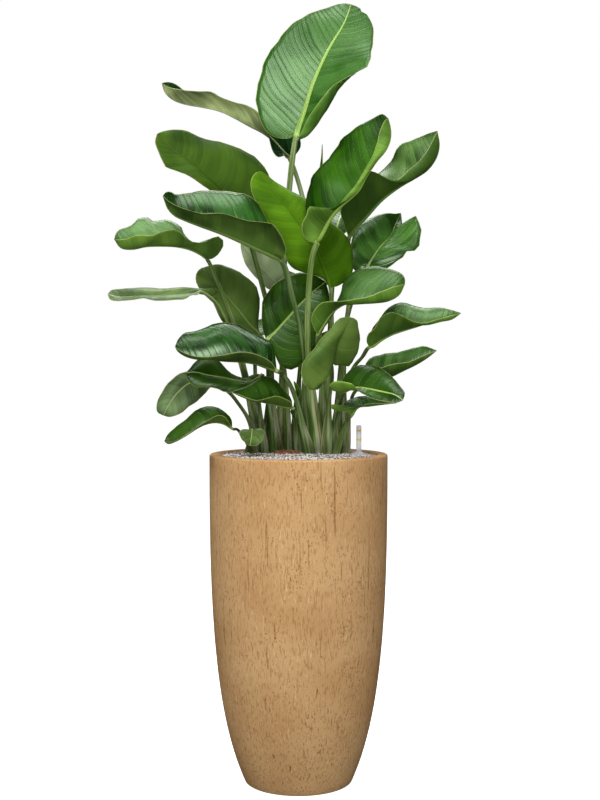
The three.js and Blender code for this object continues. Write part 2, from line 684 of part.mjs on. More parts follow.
      [-258, -53, 1186], [-300, -62, 1183], [-340, -68, 1180], [-380, -73, 1178], [-422, -75, 1176],
      [-451, -75, 1183]
    ],
    face: [[0, 0.05, 1]],
    margins: [
      [
        [-239, -60, 1182], [-254, -73, 1181], [-267, -85, 1172], [-288, -95, 1170], [-315, -100, 1166],
        [-341, -103, 1166], [-362, -104, 1174], [-395, -103, 1169], [-426, -98, 1166], [-443, -90, 1170]
      ],
      [
        [-215, -30, 1181], [-193, -26, 1186], [-192, -27, 1199], [-205, -31, 1200], [-226, -36, 1195],
        [-254, -39, 1196], [-293, -40, 1201], [-335, -42, 1200], [-378, -46, 1199], [-420, -52, 1196],
        [-445, -60, 1192]
      ],
    ],
    bulge: [[3, 4, 3], 3],
  },
  leaf_front_left_glossy: {
    grade: 'large', finish: 'leafDark', sheath: [15.5, 9, 110], neckRadius: 6, keel: 5,
    root: [26, 8],
    stalk: [[11, -5, 862], [4, -20, 898], [-20, -60, 969], [-38, -80, 995], [-50, -125, 1002]],
    rib: [
      [-76, -130, 1012], [-103, -136, 1021], [-136, -142, 1025], [-170, -147, 1026], [-205, -150, 1029],
      [-235, -150, 1030], [-260, -149, 1036], [-279, -147, 1048], [-286, -145, 1060]
    ],
    face: [[0, -0.25, 1]],
    margins: [
      [
        [-61, -145, 1022], [-79, -158, 1034], [-100, -169, 1043], [-122, -178, 1047],
        [-150, -181, 1045], [-180, -181, 1040], [-207, -180, 1036], [-235, -175, 1037],
        [-259, -168, 1044], [-275, -160, 1052]
      ],
      [
        [-53, -115, 1023], [-56, -102, 1047], [-60, -92, 1065], [-77, -86, 1075], [-100, -82, 1087],
        [-124, -80, 1101], [-147, -82, 1113], [-180, -86, 1116], [-211, -91, 1106], [-240, -101, 1096],
        [-268, -112, 1089], [-281, -125, 1076]
      ],
    ],
    bulge: [-4, 14],
  },
  leaf_front_left_low: {
    finish: 'leafDark', sheath: [11.5, 7, 120], neckRadius: 4.5,
    root: [-84, 38],
    stalk: [[-94, 30, 900], [-98, 8, 960], [-87, -60, 992]],
    rib: [
      [-115, -65, 975], [-143, -71, 978], [-174, -77, 985], [-214, -82, 992], [-244, -85, 999],
      [-266, -86, 997]
    ],
    face: [[0, -0.6, 0.8]],
    margins: [
      [
        [-96, -72, 979], [-119, -82, 966], [-143, -90, 955], [-171, -97, 952], [-192, -99, 961],
        [-213, -100, 965], [-234, -98, 964], [-253, -96, 972], [-263, -92, 985]
      ],
      [
        [-101, -48, 994], [-133, -44, 984], [-161, -43, 993], [-183, -46, 1017], [-204, -51, 1032],
        [-227, -58, 1035], [-246, -66, 1023], [-257, -76, 1007]
      ],
    ],
    bulge: [5, 6],
  },
  leaf_front_dark: {
    finish: 'leafDark', sheath: [11.5, 8, 90], neckRadius: 4.5,
    root: [-2, 34],
    stalk: [[-7, 17, 872], [-15, 2, 899], [-13, -78, 913]],
    rib: [
      [-34, -90, 917], [-62, -103, 924], [-90, -115, 930], [-113, -125, 935], [-134, -133, 943],
      [-157, -140, 954]
    ],
    face: [[0, -0.25, 1]],
    margins: [
      [
        [-18, -96, 929], [-34, -109, 939], [-52, -121, 945], [-71, -131, 941], [-96, -138, 935],
        [-117, -142, 940], [-136, -142, 948]
      ],
      [
        [-18, -68, 937], [-37, -60, 958], [-54, -59, 980], [-70, -67, 990], [-89, -81, 986],
        [-109, -100, 971], [-130, -120, 962]
      ],
    ],
    bulge: [-3, 6],
  },
  leaf_left_pale: {
    finish: 'leafPale', sheath: [13.5, 8, 110], neckRadius: 4.5,
    root: [-106, 60],
    stalk: [[-113, 45, 857], [-125, 35, 886], [-147, 28, 920], [-171, 22, 949], [-228, 12, 983]],
    rib: [[-252, 10, 976], [-273, 6, 966], [-292, 0, 949], [-309, -8, 926], [-327, -15, 893]],
    face: [[-0.4, -0.7, 0.5]],
    margins: [
      [
        [-210, 5, 971], [-217, -3, 957], [-229, -8, 945], [-239, -12, 933], [-262, -17, 917],
        [-286, -20, 898], [-310, -22, 890]
      ],
      [
        [-240, 20, 999], [-264, 18, 1000], [-288, 14, 994], [-312, 8, 974], [-332, 2, 945],
        [-343, -6, 921], [-341, -12, 901]
      ],
    ],
    bulge: [4, 4],
  },
  leaf_left_drooping: {
    sheath: [9.5, 7, 40], neckRadius: 4,
    root: [-112, 36],
    stalk: [[-124, 20, 822], [-146, -5, 857], [-158, -60, 864]],
    rib: [
      [-177, -64, 876], [-198, -69, 880], [-222, -73, 875], [-245, -76, 863], [-269, -79, 847],
      [-292, -81, 834], [-309, -82, 829], [-318, -82, 836]
    ],
    face: [[0.1, -0.5, 0.85]],
    margins: [
      [
        [-165, -75, 881], [-174, -86, 894], [-190, -93, 898], [-208, -98, 889], [-232, -100, 874],
        [-255, -99, 858], [-284, -96, 841], [-303, -92, 834]
      ],
      [
        [-160, -50, 884], [-171, -43, 898], [-191, -39, 912], [-217, -39, 915], [-243, -41, 908],
        [-271, -48, 886], [-297, -57, 863], [-313, -68, 847]
      ],
    ],
    bulge: [-2, 5],
  },
  leaf_left_hanging: {
    sheath: [5.5, 5, 30], neckRadius: 3,
    root: [-128, 62],
    stalk: [[-118, 35, 840], [-110, -70, 861]],
    rib: [[-111, -95, 846], [-114, -105, 826]],
    face: [[0, -0.6, 0.8]],
    margins: [
      [[-94, -78, 866], [-81, -95, 858], [-85, -105, 840], [-99, -108, 827]],
      [[-129, -78, 863], [-139, -95, 856], [-132, -105, 840]],
    ],
    bulge: [3, 3],
  },
  spear: {
    finish: 'leafBright', sheath: [8, 8, 240], neckRadius: 4, keel: 2,
    root: [33, 112],
    stalk: [[41, 95, 1175], [50, 75, 1400]],
    rib: [[54, 68, 1450], [57, 62, 1510], [58, 60, 1556]],
    face: [[0, -1, 0], [0, -1, 0], [0, -1, 0]],
    half: [12, 12], lift: [58, 58], curl: [50, 50], lobe: [0, 0],
  },
  leaf_back_pale: {
    finish: 'leafPale', sheath: [15.5, 9, 200], neckRadius: 4.5,
    root: [-44, 72],
    stalk: [[-36, 78, 1002], [-26, 80, 1126], [-46, 72, 1204]],
    rib: [[-70, 72, 1234], [-100, 77, 1264], [-120, 82, 1286], [-143, 92, 1314]],
    face: [[0.4, 0.8, 0.4], [0.4, 0.8, 0.4], [0.4, 0.8, 0.4]],
    half: [48, 45], lift: [5, 15],
  },
  leaf_rolled: {
    sheath: [6, 6, 100], neckRadius: 3.5, keel: 2,
    root: [-4, 66],
    stalk: [[-3, 50, 883], [0, 20, 930]],
    rib: [[1, 5, 948], [-4, -4, 962], [-11, -10, 976]],
    face: [[-0.3, -0.9, 0.3], [-0.3, -0.9, 0.3], [-0.3, -0.9, 0.3]],
    half: [12, 12], lift: [50, 50], curl: [30, 30], lobe: [0, 0],
  },
  leaf_rear_middle: {
    sheath: [15.5, 9, 200], neckRadius: 5.5, keel: 4,
    root: [-8, 142],
    stalk: [[0, 160, 960], [15, 200, 1120], [20, 235, 1195]],
    rib: [[23, 290, 1235], [27, 370, 1240], [30, 440, 1210], [32, 480, 1180]],
    face: [[0, 0.2, 1], [0, 0.2, 1], [0, 0.5, 1]],
    half: [80, 80], lift: [20, 20],
  },
  leaf_rear_right: {
    sheath: [21.5, 9, 220], neckRadius: 5.5, keel: 4,
    root: [62, 122],
    stalk: [[70, 130, 960], [85, 160, 1200], [95, 200, 1340]],
    rib: [[108, 260, 1395], [130, 340, 1420], [150, 430, 1400]],
    face: [[0, 0.3, 1], [0, 0.3, 1], [0, 0.5, 1]],
    half: [72, 72], lift: [25, 25],
  },
  leaf_rear_left: {
    sheath: [21.5, 8, 160], neckRadius: 5, keel: 4,
    root: [-105, 118],
    stalk: [[-108, 135, 920], [-112, 170, 1040], [-116, 200, 1085]],
    rib: [[-120, 250, 1110], [-126, 320, 1125], [-130, 400, 1115]],
    face: [[0, 0.3, 1], [0, 0.3, 1], [0, 0.5, 1]],
    half: [60, 60], lift: [20, 20],
  },
  leaf_rear_low: {
    sheath: [21.5, 8, 160], neckRadius: 5, keel: 4,
    root: [28, 140],
    stalk: [[35, 155, 930], [48, 185, 1030], [55, 210, 1080]],
    rib: [[60, 260, 1095], [68, 330, 1085], [75, 400, 1050]],
    face: [[0, 0.3, 1], [0, 0.3, 1], [0, 0.5, 1]],
    half: [52, 52], lift: [20, 20],
  },
  leaf_rear_high: {
    sheath: [21.5, 9, 220], neckRadius: 5.5, keel: 4,
    root: [-72, 128],
    stalk: [[-68, 140, 1000], [-62, 160, 1200], [-62, 185, 1320]],
    rib: [[-75, 240, 1370], [-98, 320, 1405], [-120, 400, 1400]],
    face: [[0, 0.3, 1], [0, 0.3, 1], [0, 0.5, 1]],
    half: [72, 72], lift: [25, 25],
  },
};

// ---- Planter ---------------------------------------------------------------

// Outer radius at a height: nearly straight below the rim, drawn in more and more towards the foot.
function vaseRadius(z) {
  const down = 1 - z / VASE_HEIGHT;
  return VASE_RADIUS * (1 - VASE_TAPER * down ** 3 - VASE_TUCK * down ** 8);
}

function boreRadius(z) {
  const lip = Math.min(Math.max(VASE_HEIGHT - z, 0), LIP_SLOPE);
  return vaseRadius(z) - VASE_WALL - lip;
}

function vaseSolid() {
  const footRound = 4;
  const profile = [[0, 0], [vaseRadius(0) - footRound, 0]];
  for (const z of [footRound, 35, 80, 140, 220, 330, 470, 640]) profile.push([vaseRadius(z), z]);
  for (const angle of [0, 45, 90]) {
    const a = THREE.MathUtils.degToRad(angle);
    const centre = [VASE_RADIUS - RIM_ROUND, VASE_HEIGHT - RIM_ROUND];
    profile.push([centre[0] + RIM_ROUND * Math.cos(a), centre[1] + RIM_ROUND * Math.sin(a)]);
  }
  for (const z of [VASE_HEIGHT, VASE_HEIGHT - LIP_SLOPE, 600, 400, 220, 100, VASE_FLOOR]) {
    profile.push([boreRadius(z), z]);
  }
  profile.push([0, VASE_FLOOR]);
  return turned(profile, VASE_SIDES);
}

// ---- Granulate, coir and gauge ---------------------------------------------

// Repeatable scatter between -1 and 1 for a pair of whole numbers.
function scatter(i, j) {
  const value = Math.sin(i * 127.1 + j * 311.7) * 43758.5453;
  return 2 * (value - Math.floor(value)) - 1;
}

function fillTop(radius) {
  const edge = radius / boreRadius(FILL_TOP);
  return FILL_TOP + FILL_MOUND * (1 - edge * edge);
}

// The fill as one body: grainy on top, and following the bore down to the floor.
function fillBody() {
  const rings = 8;
  const sides = VASE_SIDES;
  const position = [0, 0, fillTop(0)];
  const addRing = (radius, height) => {
    for (let k = 0; k < sides; k++) {
      const angle = (2 * Math.PI * k) / sides;
      position.push(radius * Math.cos(angle), radius * Math.sin(angle), height(k));
    }
  };
  const rim = boreRadius(VASE_HEIGHT - LIP_SLOPE) * Math.cos(Math.PI / sides) - GAP;
  for (let j = 1; j <= rings; j++) {
    const radius = (rim * j) / rings;
    addRing(radius, (k) => fillTop(radius) + (j < rings ? GRAIN * scatter(j, k) : -1));
  }
  const levels = [600, 400, 220, 100, VASE_FLOOR + GAP];
  for (const z of levels) {
    const radius = boreRadius(z) * Math.cos(Math.PI / sides) - GAP;
    addRing(radius, () => z);
  }
  position.push(0, 0, VASE_FLOOR + GAP);
  const index = [];
  const at = (ring, k) => 1 + ring * sides + (k % sides);
  const last = rings + levels.length - 1;
  for (let k = 0; k < sides; k++) {
    index.push(0, at(0, k), at(0, k + 1));
    for (let j = 0; j < last; j++) {
      index.push(at(j, k), at(j + 1, k), at(j + 1, k + 1), at(j, k), at(j + 1, k + 1), at(j, k + 1));
    }
    index.push(at(last, k), position.length / 3 - 1, at(last, k + 1));
  }
  const geometry = new THREE.BufferGeometry();
  geometry.setAttribute('position', new THREE.Float32BufferAttribute(position, 3));
  geometry.setIndex(index);
  return geometry;
}

// A plain straight hole or plug with an elliptical outline.
function ellipticPlug(x, y, halfWidth, halfDepth, bottom, top, rows) {
  const axes = { right: new THREE.Vector3(1, 0, 0), normal: new THREE.Vector3(0, -1, 0) };
  const ring = (z) => stalkRing(new THREE.Vector3(x, y, z), axes, halfWidth, halfDepth, rows);
  return lofted([ring(bottom), ring(top)]);
}

function fillSolid() {
  const clear = VASE_HEIGHT + ROOT_DEPTH;
  let fill = toSolid(fillBody());
  const holes = Object.values(LEAVES).map((entry) => {
    const leaf = { ...LEAF, ...entry };
    const rows = ACROSS[leaf.grade].length;
    const [halfWidth, halfDepth] = leaf.sheath;
    const spread = GAP / Math.cos(Math.PI / (2 * rows)) + 0.2;
    const bottom = FILL_TOP - ROOT_DEPTH - GAP;
    return ellipticPlug(...leaf.root, halfWidth + spread, halfDepth + spread, bottom, clear, rows);
  });
  const coirBottom = FILL_TOP - COIR.sunk - GAP;
  const coirSpread = [COIR.halfLength + SOCKET_PLAY, COIR.halfWidth + SOCKET_PLAY];
  holes.push(ellipticPlug(COIR.x, COIR.y, ...coirSpread, coirBottom, clear, COIR_ROWS));
  const drill = (radius, bottom) => {
    const length = clear - bottom;
    const hole = new THREE.CylinderGeometry(radius, radius, length, GAUGE.sides).rotateX(Math.PI / 2);
    return hole.translate(GAUGE.x, GAUGE.y, bottom + length / 2);
  };
  holes.push(drill(GAUGE.collarRadius + SOCKET_PLAY, FILL_TOP));
  holes.push(drill(GAUGE.pipeRadius + SOCKET_PLAY, FILL_TOP - GAUGE.pipeDepth - GAP));
  for (const hole of holes) fill = fill.subtract(toSolid(hole));
  return toGeometry(fill);
}

// Lumpy low mound with steep sides, its flat underside in the granulate.
function coirSolid() {
  const levels = [0, 0.45, 0.72, 0.9, 1];
  const spread = [1, 0.97, 0.8, 0.5, 0.16];
  const axes = { right: new THREE.Vector3(1, 0, 0), normal: new THREE.Vector3(0, -1, 0) };
  const rings = levels.map((level, j) => {
    const centre = new THREE.Vector3(COIR.x, COIR.y, FILL_TOP - COIR.sunk + COIR.height * level);
    const ring = stalkRing(centre, axes, COIR.halfLength * spread[j], COIR.halfWidth * spread[j], COIR_ROWS);
    return ring.map((point, k) => (j > 1 ? point.setZ(point.z + 1.2 * scatter(k, j)) : point));
  });
  return lofted(rings);
}

function gaugeBase() {
  const { collarRadius, collarHeight, tubeRadius, pipeRadius, pipeBore, pipeDepth } = GAUGE;
  const socket = tubeRadius + GAP;
  const profile = [
    [pipeBore, GAP - pipeDepth],
    [pipeRadius, GAP - pipeDepth],
    [pipeRadius, GAP],
    [collarRadius, GAP],
    [collarRadius, 2.5],
    [15, 6],
    [11, 9],
    [9, collarHeight],
    [socket, collarHeight],
    [socket, collarHeight - 4],
    [pipeBore, collarHeight - 4],
    [pipeBore, GAP - pipeDepth],
  ];
  return turned(profile, GAUGE.sides).translate(GAUGE.x, GAUGE.y, FILL_TOP);
}

function gaugeTube() {
  const { tubeRadius, tubeWall, collarHeight } = GAUGE;
  const bottom = collarHeight - 4 + GAP;
  const top = GAUGE.tubeTop - FILL_TOP;
  const inside = tubeRadius - tubeWall;
  const profile = [
    [inside, bottom],
    [tubeRadius, bottom],
    [tubeRadius, top - 1.5],
    [tubeRadius - 1.5, top],
    [0, top],
    [0, top - 2],
    [inside, top - 2],
    [inside, bottom],
  ];
  return turned(profile, GAUGE.sides).translate(GAUGE.x, GAUGE.y, FILL_TOP);
}

function gaugeFloat() {
  const { rodRadius, floatRadius, floatLength, pipeDepth, collarHeight } = GAUGE;
  const bottom = -pipeDepth;
  const profile = [
    [0, bottom],
    [floatRadius, bottom],
    [floatRadius, bottom + floatLength],
    [rodRadius, bottom + floatLength + 5],
    [rodRadius, collarHeight - 1],
    [floatRadius - 0.5, collarHeight],
    [floatRadius - 0.5, collarHeight + 4],
    [0, collarHeight + 6],
  ];
  return turned(profile, GAUGE.sides).translate(GAUGE.x, GAUGE.y, FILL_TOP);
}

// ---- The plant in its planter ----------------------------------------------

const plant = new THREE.Group();
plant.add(part('vase', vaseSolid(), material(COLOURS.vase, 0.85)));
plant.add(part('granulate', fillSolid(), material(COLOURS.granulate, 0.9)));
plant.add(part('coir_mound', coirSolid(), material(COLOURS.coir, 0.95)));
plant.add(part('gauge_base', gaugeBase(), material(COLOURS.cap, 0.4)));
plant.add(part('gauge_tube', gaugeTube(), material(COLOURS.clear, 0.1)));
plant.add(part('gauge_float', gaugeFloat(), material(COLOURS.red, 0.5)));
for (const [name, entry] of Object.entries(LEAVES)) {
  const leaf = { ...LEAF, ...entry };
  plant.add(part(name, leafSolid(leaf), material(COLOURS[leaf.finish], 0.4)));
}

export default plant;
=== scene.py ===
import math
import random

import bpy
import numpy as np
from mathutils import Matrix, Vector


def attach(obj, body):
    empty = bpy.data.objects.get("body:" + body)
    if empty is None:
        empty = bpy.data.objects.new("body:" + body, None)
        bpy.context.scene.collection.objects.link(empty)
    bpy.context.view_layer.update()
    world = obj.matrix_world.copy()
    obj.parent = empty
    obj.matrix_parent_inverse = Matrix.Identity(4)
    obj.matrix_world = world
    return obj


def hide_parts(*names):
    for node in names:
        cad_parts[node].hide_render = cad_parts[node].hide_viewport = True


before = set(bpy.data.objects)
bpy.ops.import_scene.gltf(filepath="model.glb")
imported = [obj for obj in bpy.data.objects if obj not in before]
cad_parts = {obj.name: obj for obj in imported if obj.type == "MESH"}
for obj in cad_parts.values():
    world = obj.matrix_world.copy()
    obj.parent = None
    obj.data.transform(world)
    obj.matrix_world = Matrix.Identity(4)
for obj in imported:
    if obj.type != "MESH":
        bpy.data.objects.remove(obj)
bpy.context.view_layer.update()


# ---- Room ------------------------------------------------------------------
# A plain white floor and a white room. A big soft lamp stands above the camera, where the glossy leaves
# mirror it. Two more hang over the plant and high behind it, one low in front lights the undersides,
# and two weaker ones fill in from the sides.
AMBIENT = 0.14  # light of the room on matt surfaces
MIRRORED = 0.03  # light of the room in reflections
WHITE = (1, 1, 1, 1)
FLOOR_SIZE, FLOOR_TONE, FLOOR_GLOW = 60, (0.9, 0.9, 0.9, 1), 0.95
EYE = Vector((0.0036, -3.306, 1.049))
TILT_DOWN = math.radians(2.06)
PICTURE_HEIGHT, FOCAL_PIXELS = 800, 1364


class Shade:
    """A socket in a material. Arithmetic on it adds Math nodes to the material."""

    def __init__(self, tree, socket=None):
        self.tree, self.socket = tree, socket

    def node(self, kind, settings=None, inputs=None, out=0):
        made = self.tree.nodes.new("ShaderNode" + kind)
        for name, value in (settings or {}).items():
            setattr(made, name, value)
        for name, value in (inputs or {}).items():
            if isinstance(value, Shade):
                self.tree.links.new(value.socket, made.inputs[name])
            else:
                made.inputs[name].default_value = value
        return Shade(self.tree, made.outputs[out] if made.outputs else None)

    def maths(self, operation, *values):
        return self.node("Math", {"operation": operation}, dict(enumerate(values)))

    def __add__(self, other):
        return self.maths("ADD", self, other)

    def __sub__(self, other):
        return self.maths("SUBTRACT", self, other)

    def __mul__(self, other):
        return self.maths("MULTIPLY", self, other)

    def __truediv__(self, other):
        return self.maths("DIVIDE", self, other)

    def __rsub__(self, other):
        return self.maths("SUBTRACT", other, self)

    def __abs__(self):
        return self.maths("ABSOLUTE", self)

    __radd__ = __add__
    __rmul__ = __mul__

    def step(self, low, high, start=0.0, end=1.0):
        """Runs smoothly from start to end while this value runs from low to high."""
        limits = {"Value": self, "From Min": low, "From Max": high, "To Min": start, "To Max": end}
        return self.node("MapRange", {"interpolation_type": "SMOOTHSTEP"}, limits)

    def blend(self, first, second):
        """A colour that is first where this value is 0 and second where it is 1."""
        return self.node("Mix", {"data_type": "RGBA"}, {0: self, 6: first, 7: second}, out=2)

    def position(self, stretch=(1, 1, 1)):
        coordinates = self.node("TexCoord", out="Object")
        return self.node("Mapping", {"vector_type": "POINT"}, {"Vector": coordinates, "Scale": stretch})

    def noise(self, where, scale, detail=2.0, roughness=0.5):
        values = {"Vector": where, "Scale": scale, "Detail": detail, "Roughness": roughness}
        return self.node("TexNoise", {}, values)


def finish(name, sockets):
    """A material whose main shader takes the values and links that sockets(shade) returns."""
    material = bpy.data.materials.new(name)
    material.use_nodes = True
    material.node_tree.nodes.clear()
    shade = Shade(material.node_tree)
    surface = shade.node("BsdfPrincipled", {}, sockets(shade))
    shade.node("OutputMaterial", {}, {"Surface": surface})
    return material


scene = bpy.context.scene
scene.view_settings.view_transform = "Standard"
room = bpy.data.worlds.new("room")
room.use_nodes = True
room.node_tree.nodes.clear()
scene.world = room
air = Shade(room.node_tree)
strength = AMBIENT
for kind, seen in (("Is Glossy Ray", MIRRORED), ("Is Camera Ray", 1.0)):
    ray = air.node("LightPath", out=kind)
    strength = air.node("MapRange", {}, {"Value": ray, "To Min": strength, "To Max": seen})
light = air.node("Background", {}, {"Color": WHITE, "Strength": strength})
air.node("OutputWorld", {}, {"Surface": light})


def glowing_white(shade):
    return {"Base Color": FLOOR_TONE, "Roughness": 1, "Specular IOR Level": 0,
            "Emission Color": WHITE, "Emission Strength": FLOOR_GLOW}


bpy.ops.object.select_all(action="DESELECT")
bpy.ops.mesh.primitive_plane_add(size=FLOOR_SIZE, location=(0, 0, 0))
floor = bpy.context.object
floor.name = "floor"
floor.data.materials.append(finish("floor_white", glowing_white))
floor.visible_diffuse = False
floor.visible_glossy = False


def soft_lamp(name, place, aim_height, size, watts, mirrored):
    lamp = bpy.data.lights.new(name, "AREA")
    lamp.shape = "RECTANGLE"
    lamp.size, lamp.size_y = size
    lamp.energy = watts
    holder = bpy.data.objects.new(name, lamp)
    holder.location = place
    way = Vector((0, 0, aim_height)) - Vector(place)
    holder.rotation_euler = way.to_track_quat("-Z", "Y").to_euler()
    holder.visible_glossy = mirrored
    scene.collection.objects.link(holder)


soft_lamp("lamp_front", (-0.25, -3.7, 3.7), 1.2, (2.0, 1.5), 150, True)
soft_lamp("lamp_behind", (0.1, 1.9, 4.0), 1.2, (2.8, 1.6), 90, True)
soft_lamp("lamp_above", (0, -0.7, 4.6), 1.2, (2.4, 1.6), 72, True)
soft_lamp("lamp_low", (0.1, -3.9, 0.3), 1.3, (2.6, 0.6), 58, False)
soft_lamp("lamp_left", (-3.2, -0.8, 3.0), 1.0, (1.4, 1.4), 44, False)
soft_lamp("lamp_right", (3.0, -1.6, 2.4), 1.0, (1.4, 1.8), 18, False)

camera = bpy.data.cameras.new("camera")
camera.lens = camera.sensor_width * FOCAL_PIXELS / PICTURE_HEIGHT
camera_holder = bpy.data.objects.new("camera", camera)
camera_holder.location = EYE
camera_holder.rotation_euler = (math.pi / 2 - TILT_DOWN, 0, 0)
scene.collection.objects.link(camera_holder)
scene.camera = camera_holder


# ---- Vase ------------------------------------------------------------------
# One shell cast in a mould from an ochre mineral composite: stout walls, a rounded rim that slopes in,
# sides that draw in towards a small foot. Trowelled by hand, so it has long vertical scratches and
# pin holes where air stayed in the mix.
VASE_HEIGHT = 0.8
VASE_RADIUS = 0.216
VASE_TAPER = 0.3
VASE_TUCK = 0.1
VASE_WALL = 0.022
RIM_ROUND = 0.005
LIP_SLOPE = 0.006
FOOT_ROUND = 0.004
VASE_SIDES, WALL_RINGS = 180, 34
BARE_WALL = 0.03  # how far the inner wall is finished below the rim


def vase_radius(height):
    down = 1 - height / VASE_HEIGHT
    return VASE_RADIUS * (1 - VASE_TAPER * down**3 - VASE_TUCK * down**8)


def turned_piece(name, profile, middle, sides, sharp):
    """A closed piece whose ring is extruded along a profile of (radius, height) above middle. Edges that
    turn by more than sharp degrees stay sharp."""
    bpy.ops.object.select_all(action="DESELECT")
    radius, height = profile[0]
    x, y, base = middle
    bpy.ops.mesh.primitive_circle_add(
        vertices=sides, radius=radius, fill_type="NGON", location=(x, y, base + height))
    piece = bpy.context.object
    piece.name = name
    bpy.ops.object.mode_set(mode="EDIT")
    bpy.ops.mesh.select_all(action="SELECT")
    for next_radius, next_height in profile[1:]:
        bpy.ops.mesh.extrude_region_move(TRANSFORM_OT_translate={"value": (0, 0, next_height - height)})
        share = next_radius / radius
        bpy.ops.transform.resize(value=(share, share, 1), center_override=(x, y, base + next_height))
        radius, height = next_radius, next_height
    bpy.ops.mesh.select_all(action="SELECT")
    bpy.ops.mesh.normals_make_consistent(inside=False)
    bpy.ops.object.mode_set(mode="OBJECT")
    bpy.ops.object.transform_apply(location=True)
    bpy.ops.object.shade_smooth_by_angle(angle=math.radians(sharp))
    return piece


foot = [(vase_radius(0) - FOOT_ROUND, 0)]
for angle in np.radians([30, 60, 90]):
    height = FOOT_ROUND * (1 - math.cos(angle))
    foot.append((vase_radius(height) - FOOT_ROUND * (1 - math.sin(angle)), height))
wall = [(vase_radius(z), z) for z in np.linspace(0.02, VASE_HEIGHT - RIM_ROUND, WALL_RINGS)]
rim = [(VASE_RADIUS - RIM_ROUND * (1 - math.cos(a)), VASE_HEIGHT - RIM_ROUND * (1 - math.sin(a)))
       for a in np.radians([22, 45, 68, 90])]
inside = VASE_RADIUS - VASE_WALL
lip = inside - LIP_SLOPE
inner = [(inside + 0.001, VASE_HEIGHT), (inside, VASE_HEIGHT - 0.0006), (lip, VASE_HEIGHT - LIP_SLOPE),
         (lip - 0.0003, VASE_HEIGHT - LIP_SLOPE - 0.001), (lip, VASE_HEIGHT - BARE_WALL)]
vase = turned_piece("vase_shell", foot + wall + rim + inner, (0, 0, 0), VASE_SIDES, sharp=50)


def colour(red, green, blue):
    """Linear colour from red, green and blue of 0 to 255, as a screen takes them."""
    def linear(value):
        share = value / 255
        return share / 12.92 if share <= 0.04045 else ((share + 0.055) / 1.055) ** 2.4
    return (linear(red), linear(green), linear(blue), 1.0)


def trowelled_composite(shade):
    plain = shade.position()
    scratch = shade.noise(shade.position((1, 1, 0.2)), 300, 2, 0.6).step(0.53, 0.65)
    long_scratch = shade.noise(shade.position((1, 1, 0.025)), 150, 2).step(0.64, 0.7)
    ridge = shade.noise(shade.position((1, 1, 0.14)), 230, 2).step(0.62, 0.74)
    band = shade.noise(shade.position((0.2, 0.2, 1)), 26, 2).step(0.63, 0.7)
    cells = shade.node("TexVoronoi", {}, {"Vector": shade.position((1, 1, 0.6)), "Scale": 170})
    pit = cells.step(0.16, 0.32, 1, 0) * shade.noise(plain, 16, 1).step(0.5, 0.64)
    grain = shade.noise(plain, 420, 3)
    cloud = shade.noise(plain, 6, 3)
    # The scratches and pin holes are painted darker: painted shade in these recesses.
    marks = scratch * 0.45 + long_scratch * 0.5 + pit * 0.6
    dark = marks.maths("MINIMUM", marks, 0.9)
    base = cloud.step(0.3, 0.7).blend(colour(188, 147, 100), colour(203, 165, 117))
    base = grain.step(0.35, 0.65, 0.35, 0).blend(base, colour(168, 125, 78))
    base = (ridge * 0.5).blend(base, colour(226, 195, 148))
    base = dark.blend(base, colour(132, 88, 46))
    relief = ridge * 0.5 - scratch * 0.5 - long_scratch - pit * 1.2 + band * 0.25 + grain * 0.3
    normal = shade.node("Bump", {}, {"Height": relief, "Strength": 0.6, "Distance": 0.0008})
    return {"Base Color": base, "Roughness": grain.step(0.2, 0.8, 0.72, 0.9), "Normal": normal,
            "Specular IOR Level": 0.14}


vase.data.materials.append(finish("trowelled_composite", trowelled_composite))
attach(vase, "root")
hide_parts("vase")


# ---- Granulate -------------------------------------------------------------
# Loose mineral grains of 2 to 6 mm fill the vase almost to the rim: mostly white and grey pumice, with
# some dark slag and brown lava. A bed with holes for the stalks carries a layer of single grains.
FILL_TOP = 0.795
FILL_MOUND = 0.004
GRAIN_ROWS = 0.0041  # spacing of the grains
LEAST_GRAIN, GRAIN_RANGE = 0.0013, 0.0019  # radius
WALL_GAP = 0.0022  # between the wall and the middle of the nearest grain
SCATTER = random.Random(5)


def bed(shade):
    lumps = shade.node("TexVoronoi", {}, {"Vector": shade.position(), "Scale": 260})
    tone = shade.noise(shade.position(), 260, 2)
    base = tone.step(0.3, 0.7).blend(colour(84, 74, 68), colour(140, 130, 122))
    normal = shade.node("Bump", {}, {"Height": lumps, "Strength": 1.0, "Distance": 0.002})
    return {"Base Color": base, "Roughness": lumps.step(0, 1, 0.85, 1), "Normal": normal}


def bore_radius(height):
    lip = min(max(VASE_HEIGHT - height, 0), LIP_SLOPE)
    return vase_radius(height) - VASE_WALL - lip


def fill_height(x, y):
    edge = math.hypot(x, y) / bore_radius(FILL_TOP)
    return FILL_TOP + FILL_MOUND * (1 - edge * edge)


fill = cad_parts["granulate"]
fill.data.materials.clear()
fill.data.materials.append(finish("granulate_bed", bed))

bpy.ops.object.select_all(action="DESELECT")
bpy.ops.mesh.primitive_ico_sphere_add(subdivisions=1, radius=1, location=(0, 0, 0))
grain = bpy.context.object
bpy.ops.object.mode_set(mode="EDIT")
bpy.ops.transform.resize(value=(1, 0.82, 0.7))
bpy.ops.transform.vertex_random(offset=0.16, seed=3)
bpy.ops.object.mode_set(mode="OBJECT")
grain_points = np.array([vertex.co for vertex in grain.data.vertices])
grain_faces = np.array([face.vertices for face in grain.data.polygons])
bpy.data.objects.remove(grain)

